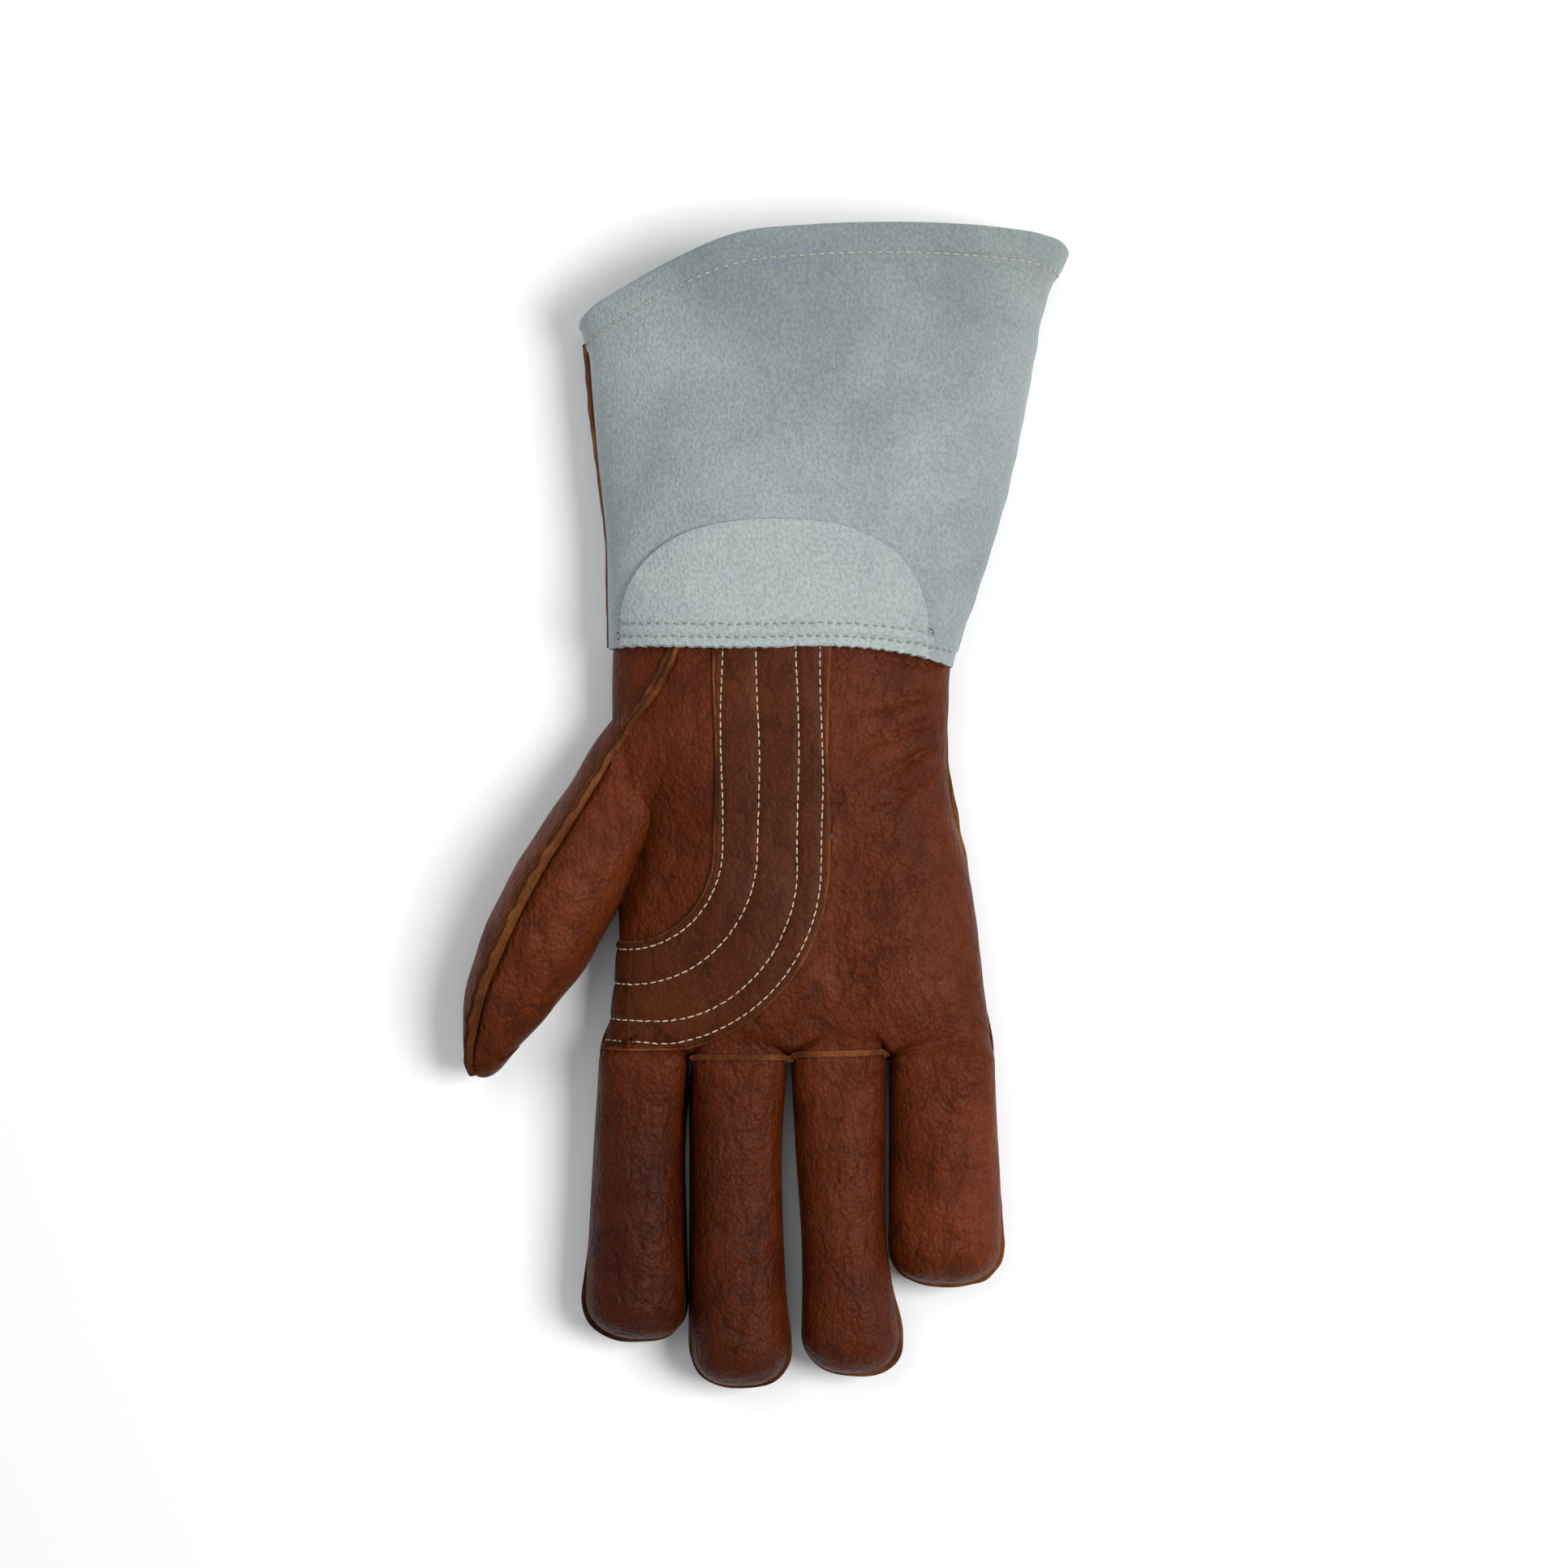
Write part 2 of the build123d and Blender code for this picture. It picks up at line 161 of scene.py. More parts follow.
def shell(name, outer, thickness, material, outward, closed=False):
    """Closed skin: the outer grid, a copy moved inwards by thickness along the normals, and rims.
    outward is 1 or -1, whichever turns the grid's own normals out of the piece."""
    rows, cols = outer.shape[:2]
    inner = outer - outward * thickness * grid_normals(outer, closed)
    points = np.concatenate([outer.reshape(-1, 3), inner.reshape(-1, 3)])
    number = np.arange(rows * cols).reshape(rows, cols)
    if closed:
        number = np.concatenate([number, number[:, :1]], axis=1)

    def quads(a, b, c, d):
        return np.stack([a, b, c, d], axis=-1).reshape(-1, 4)

    top = quads(number[:-1, :-1], number[:-1, 1:], number[1:, 1:], number[1:, :-1])
    under = number + rows * cols
    low = quads(under[:-1, :-1], under[1:, :-1], under[1:, 1:], under[:-1, 1:])
    sides = [
        quads(number[0, :-1], under[0, :-1], under[0, 1:], number[0, 1:]),
        quads(number[-1, :-1], number[-1, 1:], under[-1, 1:], under[-1, :-1]),
    ]
    if not closed:
        sides += [
            quads(number[:-1, 0], number[1:, 0], under[1:, 0], under[:-1, 0]),
            quads(number[:-1, -1], under[:-1, -1], under[1:, -1], number[1:, -1]),
        ]
    faces = np.concatenate([top, low] + sides)
    if outward < 0:
        faces = faces[:, ::-1]
    piece = put_mesh(name, points, faces.tolist(), material)
    edge_of = np.zeros((2, rows, cols), bool)
    edge_of[:, [0, -1]] = True
    if not closed:
        edge_of[:, :, [0, -1]] = True
    rim = edge_of.reshape(-1)
    ends = np.empty(2 * len(piece.data.edges), np.int32)
    piece.data.edges.foreach_get("vertices", ends)
    ends = ends.reshape(-1, 2)
    layer = ends >= rows * cols
    sharp = rim[ends[:, 0]] & rim[ends[:, 1]] & (layer[:, 0] == layer[:, 1])
    mark = piece.data.attributes.new("sharp_edge", "BOOLEAN", "EDGE")
    mark.data.foreach_set("value", sharp)
    return piece


def stand_for(piece, slot, *nodes):
    """Hides these CAD nodes, whose place the piece takes; piece and slot are not used here."""
    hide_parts(*nodes)


def bend_at_wrist(piece):
    """Bakes the piece's placement into its mesh; the piece is not bent here."""
    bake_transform(piece)


def shader(name, base, rough, specular=0.4, sheen=0.0):
    """New material; returns it with its node tree and its surface shader."""
    material = bpy.data.materials.new(name)
    material.use_nodes = True
    tree = material.node_tree
    skin = tree.nodes["Principled BSDF"]
    skin.inputs["Base Color"].default_value = (*base, 1)
    skin.inputs["Roughness"].default_value = rough
    skin.inputs["Specular IOR Level"].default_value = specular
    skin.inputs["Sheen Weight"].default_value = sheen
    return material, tree, skin


def texture(tree, kind, scale, stretch=(1, 1, 1), **sockets):
    """Texture node of the given kind on the piece's Object coordinates, stretched by a Mapping node."""
    place = tree.nodes.new("ShaderNodeTexCoord")
    turn = tree.nodes.new("ShaderNodeMapping")
    turn.inputs["Scale"].default_value = stretch
    node = tree.nodes.new("ShaderNodeTex" + kind)
    node.inputs["Scale"].default_value = scale
    for socket, value in sockets.items():
        node.inputs[socket].default_value = value
    tree.links.new(place.outputs["Object"], turn.inputs["Vector"])
    tree.links.new(turn.outputs["Vector"], node.inputs["Vector"])
    return node


def tones(tree, source, stops):
    """Colour ramp driven by a socket; stops are (place, colour)."""
    ramp = tree.nodes.new("ShaderNodeValToRGB")
    ramp.color_ramp.elements[0].position, ramp.color_ramp.elements[1].position = stops[0][0], stops[-1][0]
    for place, _ in stops[1:-1]:
        ramp.color_ramp.elements.new(place)
    for element, (_, colour) in zip(ramp.color_ramp.elements, stops):
        element.color = (*colour, 1) if len(colour) == 3 else colour
    tree.links.new(source, ramp.inputs["Fac"])
    return ramp.outputs["Color"]


def painted(tree, skin, source, stops):
    """The surface's base colour, as a colour ramp driven by a socket."""
    tree.links.new(tones(tree, source, stops), skin.inputs["Base Color"])


def ranged(tree, source, low, high):
    """A socket's value brought from low..high to 0..1, and held inside."""
    span = tree.nodes.new("ShaderNodeMapRange")
    span.inputs["From Min"].default_value, span.inputs["From Max"].default_value = low, high
    tree.links.new(source, span.inputs["Value"])
    return span.outputs["Result"]


def mixed(tree, amount, first, second, how="MIX"):
    """Mix of two colour sockets; amount is a socket or a number."""
    mix = tree.nodes.new("ShaderNodeMix")
    mix.data_type, mix.blend_type = "RGBA", how
    if isinstance(amount, (int, float)):
        mix.inputs[0].default_value = amount
    else:
        tree.links.new(amount, mix.inputs[0])
    tree.links.new(first, mix.inputs[6])
    tree.links.new(second, mix.inputs[7])
    return mix.outputs[2]


def way_along(tree, axis, low, high):
    """0 to 1 between two places, in metres, along the piece's X or Y axis."""
    spot = tree.nodes.new("ShaderNodeSeparateXYZ")
    tree.links.new(tree.nodes["Texture Coordinate"].outputs["Object"], spot.inputs["Vector"])
    return ranged(tree, spot.outputs[axis], low, high)


def times(tree, first, *others):
    """Product of colour sockets."""
    for other in others:
        first = mixed(tree, 1.0, first, other, "MULTIPLY")
    return first


def relief(tree, skin, layers):
    """Chain of bumps into the shader's normal; layers are (height socket, strength, depth in metres)."""
    last = None
    for height, strength, depth in layers:
        bump = tree.nodes.new("ShaderNodeBump")
        bump.inputs["Strength"].default_value = strength
        bump.inputs["Distance"].default_value = depth
        tree.links.new(height, bump.inputs["Height"])
        if last:
            tree.links.new(last, bump.inputs["Normal"])
        last = bump.outputs["Normal"]
    tree.links.new(last, skin.inputs["Normal"])


def grain_leather(name, dark, base, light, grain=1.0, rough=0.42):
    """Grain leather: cloudy tone, painted shade in the pebble's valleys and creases, a fine pebble and longer
    hide wrinkles.
    """
    material, tree, skin = shader(name, base, rough, specular=0.09)
    cloud = texture(tree, "Noise", 34.0, Detail=5.0, Roughness=0.62)
    hide = texture(tree, "Noise", 150.0, (1, 0.45, 1), Detail=6.0, Roughness=0.66, Distortion=0.5)
    pebble = texture(tree, "Voronoi", 760.0, (1, 0.85, 1))
    wrinkle = texture(tree, "Voronoi", 150.0, (1, 0.62, 1))
    wrinkle.feature = "DISTANCE_TO_EDGE"
    waver = texture(tree, "Noise", 210.0, Detail=4.0, Roughness=0.6)
    shift = tree.nodes.new("ShaderNodeVectorMath")
    shift.operation = "MULTIPLY_ADD"
    shift.inputs[1].default_value = (0.006, 0.006, 0.006)
    tree.links.new(waver.outputs["Color"], shift.inputs[0])
    tree.links.new(wrinkle.inputs["Vector"].links[0].from_socket, shift.inputs[2])
    tree.links.new(shift.outputs[0], wrinkle.inputs["Vector"])
    patchy = texture(tree, "Noise", 60.0, Detail=2.0)
    fine = texture(tree, "Noise", 2300.0, Detail=3.0)
    tone = tones(tree, cloud.outputs["Fac"], [(0.34, dark), (0.5, base), (0.68, light)])
    worn = tones(tree, hide.outputs["Fac"], [(0.34, (0.70, 0.66, 0.62)), (0.52, (1, 1, 1)), (0.7, (1, 1, 1))])
    # Painted shade in the pebble's valleys, and a little painted light on its tops
    pebble_shade = tones(tree, pebble.outputs["Distance"], [(0.0, (1.06, 1.05, 1.04)), (0.65, (0.8, 0.78, 0.76))])
    # Painted shade: the leather is darker towards the fingertips and most on the index finger, away from the
    # light, with painted light on the little finger
    to_tips, to_little = way_along(tree, "Y", -0.155, -0.03), way_along(tree, "X", -0.055, 0.06)
    tip_shade = tones(tree, to_tips, [(0, (0.82, 0.80, 0.78)), (0.5, (0.93, 0.92, 0.9)), (1, (1, 1, 1))])
    finger_shade_and_light = tones(tree, to_little, [
        (0, (0.60, 0.54, 0.48)), (0.35, (0.80, 0.77, 0.74)),
        (0.7, (0.95, 0.94, 0.92)), (1, (1.45, 1.4, 1.35)),
    ])
    palm_shade = tones(tree, to_little, [(0, (0.97, 0.97, 0.97)), (1, (1, 1, 1))])
    painted_shading = times(tree, tip_shade, mixed(tree, way_along(tree, "Y", -0.098, -0.050), finger_shade_and_light, palm_shade))
    full = times(tree, tone, worn, pebble_shade)
    # Painted shade along the wrinkles' lines, laid on in patches
    line = tones(tree, wrinkle.outputs["Distance"], [(0.0, (0.62, 0.58, 0.55)), (0.09, (1, 1, 1))])
    full = mixed(tree, ranged(tree, patchy.outputs["Fac"], 0.42, 0.62), full, times(tree, full, line))
    groove = ranged(tree, wrinkle.outputs["Distance"], 0.0, 0.16)
    tree.links.new(times(tree, full, painted_shading), skin.inputs["Base Color"])
    shine = tones(tree, hide.outputs["Fac"], [(0.3, (rough + 0.1,) * 3), (0.7, (rough - 0.08,) * 3)])
    tree.links.new(shine, skin.inputs["Roughness"])
    turned = tree.nodes.new("ShaderNodeMath")
    turned.operation = "SUBTRACT"
    turned.inputs[0].default_value = 1.0
    tree.links.new(pebble.outputs["Distance"], turned.inputs[1])
    relief(tree, skin, [
        (groove, 0.4 * grain, 0.0006),
        (hide.outputs["Fac"], 0.62 * grain, 0.0016),
        (turned.outputs[0], 0.6 * grain, 0.0005),
        (fine.outputs["Fac"], 0.25, 0.00015),
    ])
    return material


hand_leather = grain_leather(
    "hand_leather", (0.080, 0.0135, 0.0022), (0.098, 0.0175, 0.0032), (0.118, 0.0228, 0.0046)
)

# Outline of the hand: its left and right edges, and the height of the palm, along Y
HAND_LEFT = (
    [-66, KNUCKLE, -52, -43, -33, -20, 20, WRIST, TUCK],
    [-54.0, -53.6, -51.4, -50.2, -49.3, -49.6, -51.0, -51.5, -50.6],
)
HAND_RIGHT = (
    [-66, KNUCKLE, -40, -17, -2, 13, 28, 43, WRIST, TUCK],
    [64.9, 64.6, 62.0, 59.3, 56.5, 52.6, 50.8, 51.2, 51.6, 55.5],
)
HAND_PEAK = ([-66, KNUCKLE, -45, -15, 20, WRIST, TUCK], [27.2, 27.4, 30.5, 33.0, 33.4, 31.6, 32.4])
# Powers of the hand's section: the palm is rounder, the back lies flat
PALM_SQUARE = 2.7
BACK_SQUARE = 4.2

# The crease where the thumb's mound meets the palm, from the wrist side down to the crotch
CREASE = np.array([(-36.5, 24.0), (-42.5, 8.0), (-45.5, -6.0), (-50.5, -22.0)])


def crease_distance(x, y):
    """Distance from the crease line: x minus the line's own x at that y."""
    return x - curve_through(CREASE[::-1, 1], CREASE[::-1, 0], y)


def palm_relief(x, y):
    """How far the palm's leather stands above its plain section: the thumb's crease, hollows of the palm,
    gathers at the wrist's elastic, and seeded folds."""
    away = crease_distance(x, y)
    along = soft_step(y, -34, -14) * (1 - soft_step(y, 2, 32))
    crease = -6.5 * hump(away, 0, 4.6) * along - 3.0 * hump(away, 9, 10) * along
    hollow = -2.4 * hump(x, 22, 26) * hump(y, -8, 30) + 1.6 * hump(x, 40, 14) * hump(y, -30, 24)
    gathers = 0
    for ray_y, ray_end, depth in ((58, 60, 0.7), (50, 42, 1.0), (43, 30, 1.2), (36, 16, 1.3), (30, 2, 0.9)):
        line = ray_y + (ray_end - ray_y) * (52 - x) / 34
        gathers = gathers - 1.5 * depth * hump(y, line, 1.5 + (52 - x) * 0.04) * soft_step(x, 14, 44)
    worn = (
        folds(x, y, 5, 34, (-46, 60, -55, 48), 8.0, 0.75, 0.34, 60, 40)
        + folds(x, y, 6, 16, (16, 58, -20, 20), 9.0, 0.8, 0.42, 10, 22)
        + folds(x, y, 8, 22, (-30, 60, -58, -28), 7.0, 0.8, 0.4, 118, 25)
    )
    return crease + hollow + gathers + worn + swell(x, y, 3, 42, 1.3) + swell(x, y, 4, 15, 0.45)


# Fingers, as places along each one from the knuckles (0) to the end of its straight run (1), and there
# how far its left and right edges stand in from its CAD stall, and its height above the bench
FINGER_NAMES = ("index", "middle", "ring", "little")
FINGER_SHAPE = {
    "index": ([0, 0.35, 0.7, 1], [1.7, 0.5, -0.4, -1.2], [0.5, 2.6, 2.3, 1.6], [27.2, 26.0, 27.0, 26.6]),
    "middle": ([0, 0.35, 0.7, 1], [0.0, 0.2, 0.2, -0.1], [0.1, 1.9, 1.2, -0.2], [27.0, 25.6, 26.8, 27.2]),
    "ring": ([0, 0.35, 0.7, 1], [0.0, 1.6, 3.4, 3.6], [0.3, 0.6, 0.2, -3.6], [27.0, 25.8, 26.6, 26.8]),
    "little": ([0, 0.35, 0.7, 1], [0.0, 0.0, -0.1, -0.1], [0.9, 0.3, -0.5, -0.6], [27.2, 26.2, 27.4, 27.4]),
}
# How far the back of each finger swells out under the seam, on its left and right side
SIDE_FULLNESS = {"index": (0.4, 1.9), "middle": (1.9, 0.2), "ring": (0.0, 0.5), "little": (0.5, 0.3)}
# Length over which a fingertip closes, and the power of a finger's section
TIP_RUN = 13.5
FINGER_SQUARE = 2.25


def finger_edges(name, away):
    """Left edge, right edge and height of a finger at a distance from the knuckles, before its tip closes."""
    low, high = corners(name + "_front_tip")
    root_low, root_high = corners(name + "_front_base")
    straight = KNUCKLE - low[1] - TIP_RUN
    t = np.clip(away / straight, 0, 1)
    places, left_in, right_in, peak = FINGER_SHAPE[name]
    left = root_low[0] + (low[0] - root_low[0]) * t + curve_through(places, left_in, t)
    right = root_high[0] + (high[0] - root_high[0]) * t - curve_through(places, right_in, t)
    return left, right, curve_through(places, peak, t), straight


def finger_section(name, turn, away, front):
    """Points of a finger's front or back half: superellipse sections that close over the tip, where the
    width follows |w|^2.5 + |a|^2.5 = 1 and the height the same with a rounder power."""
    left, right, peak, straight = finger_edges(name, away)
    past = np.clip((away - straight) / TIP_RUN, 0, 0.9999)
    narrow = (1 - past**2.5) ** (1 / 2.5)
    flat = (1 - past**2.1) ** (1 / 2.1)
    middle, half = (left + right) / 2, (right - left) / 2 * narrow
    lean = {"index": 2.2, "middle": 0.0, "ring": 0.8, "little": 0.0}[name] * past**2
    crest = SEAM + ((peak if front else REST) - SEAM) * flat
    square = FINGER_SQUARE + 2.4 * np.exp(-np.maximum(away, 0) / 8) if front else 2.9
    x, z = half_section(turn, middle + lean - half, middle + lean + half, SEAM, crest, square)
    if not front:
        left_full, right_full = SIDE_FULLNESS[name]
        bulge = 4 * np.sin(turn) * (1 - np.sin(turn)) * narrow * soft_step(away, 0, 12)
        x = x + np.where(np.cos(turn) > 0, -left_full, right_full) * bulge
    return np.stack([x, KNUCKLE - away + 0 * x, z], axis=-1)


def finger_relief(name, x, away, front):
    """Creases across a finger, a fuller pad at its tip, and small gathers under the seam at its root."""
    seed = 20 + FINGER_NAMES.index(name)
    reach = KNUCKLE - corners(name + "_front_tip")[0][1]
    y = KNUCKLE - away
    worn = folds(x, y, seed, 16, (x.min(), x.max(), y.min(), y.max()), 8.0, 0.8, 0.34, 8, 24)
    fine = folds(x, y, seed + 60, 26, (x.min(), x.max(), y.min(), y.max()), 4.5, 0.55, 0.2, 30, 60)
    bend = -0.75 * hump(away, reach * 0.5, 3.6) + 0.5 * hump(away, reach * 0.32, 9)
    gathers = 0
    if front and name in ("middle", "ring"):
        gathers = 0.32 * np.sin(x * 1.9 + 0.7 * np.sin(x * 0.6)) * np.exp(-np.maximum(away, 0) / 7)
        gathers = gathers - 1.0 * np.exp(-np.maximum(away + 2, 0) / 3.0)
    fade = 1 - soft_step(away, reach - 5, reach - 0.5)
    return (worn + fine + bend + gathers + swell(x, y, seed + 30, 22, 0.9)) * fade


# Rows and columns: each finger has its own stretch of the palm's columns, so that they meet edge to edge
FINGER_COLS = 44
turns = np.linspace(0, np.pi, FINGER_COLS)
EDGE_PLACES = {}
for finger_name in FINGER_NAMES:
    root_left, root_right = finger_edges(finger_name, 0.0)[:2]
    EDGE_PLACES[finger_name] = (float(root_left), float(root_right))
palm_left, palm_right = curve_through(*HAND_LEFT, KNUCKLE), curve_through(*HAND_RIGHT, KNUCKLE)
gaps = [(EDGE_PLACES[a][1] + EDGE_PLACES[b][0]) / 2 for a, b in zip(FINGER_NAMES, FINGER_NAMES[1:])]
share = (np.array(gaps) - (palm_left + palm_right) / 2) / ((palm_right - palm_left) / 2)


def gap_turns(square):
    """Turn of the palm's section over each gap between fingers: where -cos(t)^(2/n) equals its place."""
    return [0.0, *np.arccos(-np.sign(share) * np.abs(share) ** (square / 2)), np.pi]


# The seam at the root of the two middle fingers is scalloped: how far it rises above the gaps
SCALLOP = {"index": 1.0, "middle": 1.6, "ring": 2.8, "little": 1.0}
SCALLOP_LOW = KNUCKLE - 1.2


def panel_end(name):
    """y where the palm panel ends, over one finger's columns: low at the gaps and flat between them."""
    across = 2 * turns / np.pi - 1
    rise = SCALLOP[name] + (0.9 * across if name == "ring" else 0.0)
    return SCALLOP_LOW + rise * (1 - np.abs(across) ** 5)


def hand_half(front, top_row, rows):
    """One panel of the hand, from the wrist to the knuckles: the hand's own section, turning over the
    last stretch into four finger sections side by side."""
    square = PALM_SQUARE if front else BACK_SQUARE
    turn_at = gap_turns(square)
    strips = []
    for number, name in enumerate(FINGER_NAMES):
        end = panel_end(name) if front else np.full(FINGER_COLS, KNUCKLE)
        v = np.linspace(0, 1, rows)[:, None]
        y = top_row + (end[None, :] - top_row) * v
        turn = turn_at[number] + (turn_at[number + 1] - turn_at[number]) * turns[None, :] / np.pi + 0 * y
        left, right = curve_through(*HAND_LEFT, y), curve_through(*HAND_RIGHT, y)
        peak = curve_through(*HAND_PEAK, y) if front else REST + 0 * y
        x, z = half_section(turn, left, right, SEAM, peak, square)
        if front:
            z = z + palm_relief(x, y) * np.sin(turn) ** 0.5
        else:
            z = z + back_relief(x, y) * np.sin(turn)
        tube = finger_section(name, turns[None, :] + 0 * y, KNUCKLE - y, front)
        lift = finger_relief(name, tube[..., 0], KNUCKLE - y, front)
        tube[..., 2] += (lift if front else -0.5 * lift) * np.sin(turns)[None, :]
        reach = 11.5 - 6.5 * np.abs(2 * turns[None, :] / np.pi - 1) ** 1.5 if front else 19.0
        near = soft_step((y - end[None, :]) / reach, 1.0, 0.0) ** 1.5
        both = np.stack([x, y, z], axis=-1) * (1 - near[..., None]) + tube * near[..., None]
        both[..., 1] = y
        strips.append(both if number == 0 else both[:, 1:])
    return np.concatenate(strips, axis=1)


def back_relief(x, y):
    """Back of the hand: gathered across the wrist by the elastic, and pressed flat by its own weight."""
    drawn = hump(y, 38, 9)
    ripple = (0.9 + 0.9 * np.sin(x * 0.52 + 1.3 * np.sin(x * 0.13))) * drawn
    return ripple + 0.8 * drawn + folds(x, y, 41, 30, (-46, 56, -55, 60), 8.0, 0.9, -0.3, 80, 50) * 0.8


HAND_ROWS = 176
palm_grid = hand_half(True, TUCK - 4, HAND_ROWS)
palm_leather = shell("palm_leather", palm_grid, LEATHER, hand_leather, -1)
stand_for(palm_leather, "hand_leather", "palm_panel", "wrist_front")
bend_at_wrist(palm_leather)

# ---------------------------------------------------------------------------------------------------------
# Back of the hand: one whole panel of the same leather, sewn to the palm along both sides, with the backs
# of all four fingers cut in one with it. Elastic sewn inside gathers it at the wrist.
# ---------------------------------------------------------------------------------------------------------
back_grid = hand_half(False, TUCK - 4, HAND_ROWS // 2)
back_leather = shell("back_leather", back_grid, LEATHER, hand_leather, 1)
stand_for(back_leather, "hand_leather", "back_panel", "wrist_back")
bend_at_wrist(back_leather)

# ---------------------------------------------------------------------------------------------------------
# Fingers: a front and a back of grain leather to each, sewn together round the sides and the tip. Each is
# built in two lengths, a base and a tip.
# ---------------------------------------------------------------------------------------------------------
# Shortest length of a finger's base; a run centred on its middle, whose start ends the base if that is later;
# and a distance past every tip
KNUCKLE_BEND = 18.0
MIDDLE_BEND = 17.0
PAST_TIP = 1e6
# Share of the quarter turn that a closing tip runs through, so that its last ring keeps a small opening
DOME = 0.985


def finger_grid(name, front, start, end, rows, cols=turns):
    """Grid of a finger's half from one distance along it to another; near the tip the rows follow the
    sine of an even turn, so that the dome is evenly divided."""
    reach = KNUCKLE - corners(name + "_front_tip")[0][1]
    straight = reach - TIP_RUN
    even = np.linspace(0, 1, rows)[:, None]
    if end >= reach:
        bend = straight / (straight + TIP_RUN * np.pi / 2)
        s = start / straight * bend + (1 - start / straight * bend) * even
        dome = np.clip((s - bend) / (1 - bend), 0, 1)
        away = np.where(s < bend, s / bend * straight, straight + TIP_RUN * np.sin(dome * np.pi / 2 * DOME))
        away = away + 0 * cols[None, :]
    else:
        away = start + (end - start) * even + 0 * cols[None, :]
    if front and start <= 0:
        away = away + (KNUCKLE - panel_end(name)[None, :]) * (1 - even) ** 2
    grid = finger_section(name, cols[None, :] + 0 * away, away, front)
    lift = finger_relief(name, grid[..., 0], away, front)
    grid[..., 2] += (lift if front else -0.5 * lift) * np.sin(cols)[None, :]
    return grid, away


def finger_split(name):
    """Distance from the knuckle where a finger's two lengths meet, and the place of its middle bend."""
    middle = KNUCKLE - corners(name + "_front_tip")[1][1] + 0.15
    return max(KNUCKLE_BEND, middle - MIDDLE_BEND / 2), middle


def bend_finger(piece):
    """Bakes the piece's placement into its mesh; neither the base nor the tip is bent here."""
    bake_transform(piece)


for finger_name in FINGER_NAMES:
    split, _ = finger_split(finger_name)
    for side, front in (("front", True), ("back", False)):
        for part, start, end, rows in (("base", 0.0, split, 40), ("tip", split, PAST_TIP, 90)):
            grid, _ = finger_grid(finger_name, front, start, end, rows)
            piece = shell(
                f"{finger_name}_{side}_{part}_leather", grid, LEATHER, hand_leather, -1 if front else 1
            )
            stand_for(piece, "hand_leather", f"{finger_name}_{side}_{part}")
            bend_finger(piece)

# ---------------------------------------------------------------------------------------------------------
# Thumb: a front and a back of grain leather, cut in one with the mound at its root and let into the side of
# the palm. They meet along the top of the thumb, where both raw edges stand up together.
# ---------------------------------------------------------------------------------------------------------
thumb_leather = grain_leather(
    "thumb_leather", (0.094, 0.0175, 0.0034), (0.118, 0.0230, 0.0050), (0.144, 0.0300, 0.0070)
)
# The thumb's line leaves the hand at this angle from this root; along it are its shift across the line,
# half width, and the heights of its top and underside
THUMB_ANGLE = np.radians(25.0)
THUMB_ROOT = np.array([palm_low[0] + 2.95, 8.0])
THUMB_PLACES = [-44, -32, -20, 0, 25, 45, 61, 68, 75, 90]
THUMB_SHIFT = [-4.0, -2.5, -1.8, -3.0, -4.8, -5.7, -6.7, -6.7, -6.4, -5.0]
THUMB_HALF = [9.0, 11.3, 13.8, 15.2, 17.0, 16.2, 13.2, 11.0, 8.8, 6.5]
THUMB_TOP = [22.0, 24.0, 27.0, 31.6, 32.2, 29.8, 26.4, 24.4, 22.0, 18.0]
THUMB_LOW = [7.0, 5.0, 4.0, 1.8, 0.6, 0.6, 1.2, 2.0, 3.2, 5.0]
THUMB_MIDDLE = 12.5
THUMB_END = 86.5
THUMB_TIP_RUN = 12.5


def thumb_seam_turn(along):
    """Turn of the thumb's upper seam: a third of the way over the thumb, and a little higher at its root."""
    return np.radians(62.0 + 7.0 * (1 - soft_step(along, -34, -18)))


def sample(grid, row, col):
    """Points of a grid at fractional rows and columns, by bilinear interpolation."""
    row, col = np.clip(row, 0, grid.shape[0] - 1.001), np.clip(col, 0, grid.shape[1] - 1.001)
    r, c = row.astype(int), col.astype(int)
    fr, fc = (row - r)[..., None], (col - c)[..., None]
    return (
        grid[r, c] * (1 - fr) * (1 - fc) + grid[r + 1, c] * fr * (1 - fc)
        + grid[r, c + 1] * (1 - fr) * fc + grid[r + 1, c + 1] * fr * fc
    )


def locate(grid, x, y):
    """Fractional row and column of a grid where it lies at x, y: the nearest point, then Newton steps."""
    x, y = np.broadcast_arrays(np.asarray(x, float), np.asarray(y, float))
    every = 4
    coarse = grid[::every, ::every, :2]
    flat = coarse.reshape(-1, 2)
    away_x, away_y = flat[None, :, 0] - x.reshape(-1, 1), flat[None, :, 1] - y.reshape(-1, 1)
    nearest = (away_x**2 + away_y**2).argmin(1)
    row = (nearest // coarse.shape[1] * float(every)).reshape(x.shape)
    col = (nearest % coarse.shape[1] * float(every)).reshape(x.shape)
    for _ in range(14):
        here = sample(grid, row, col)
        down, right = sample(grid, row + 0.5, col) - here, sample(grid, row, col + 0.5) - here
        ex, ey = x - here[..., 0], y - here[..., 1]
        area = down[..., 0] * right[..., 1] - down[..., 1] * right[..., 0]
        area = np.where(np.abs(area) < 1e-6, 1e-6, area)
        row = row + np.clip((ex * right[..., 1] - ey * right[..., 0]) / area * 0.5, -3, 3)
        col = col + np.clip((down[..., 0] * ey - down[..., 1] * ex) / area * 0.5, -3, 3)
        row, col = np.clip(row, 0, grid.shape[0] - 1.01), np.clip(col, 0, grid.shape[1] - 1.01)
    return row, col


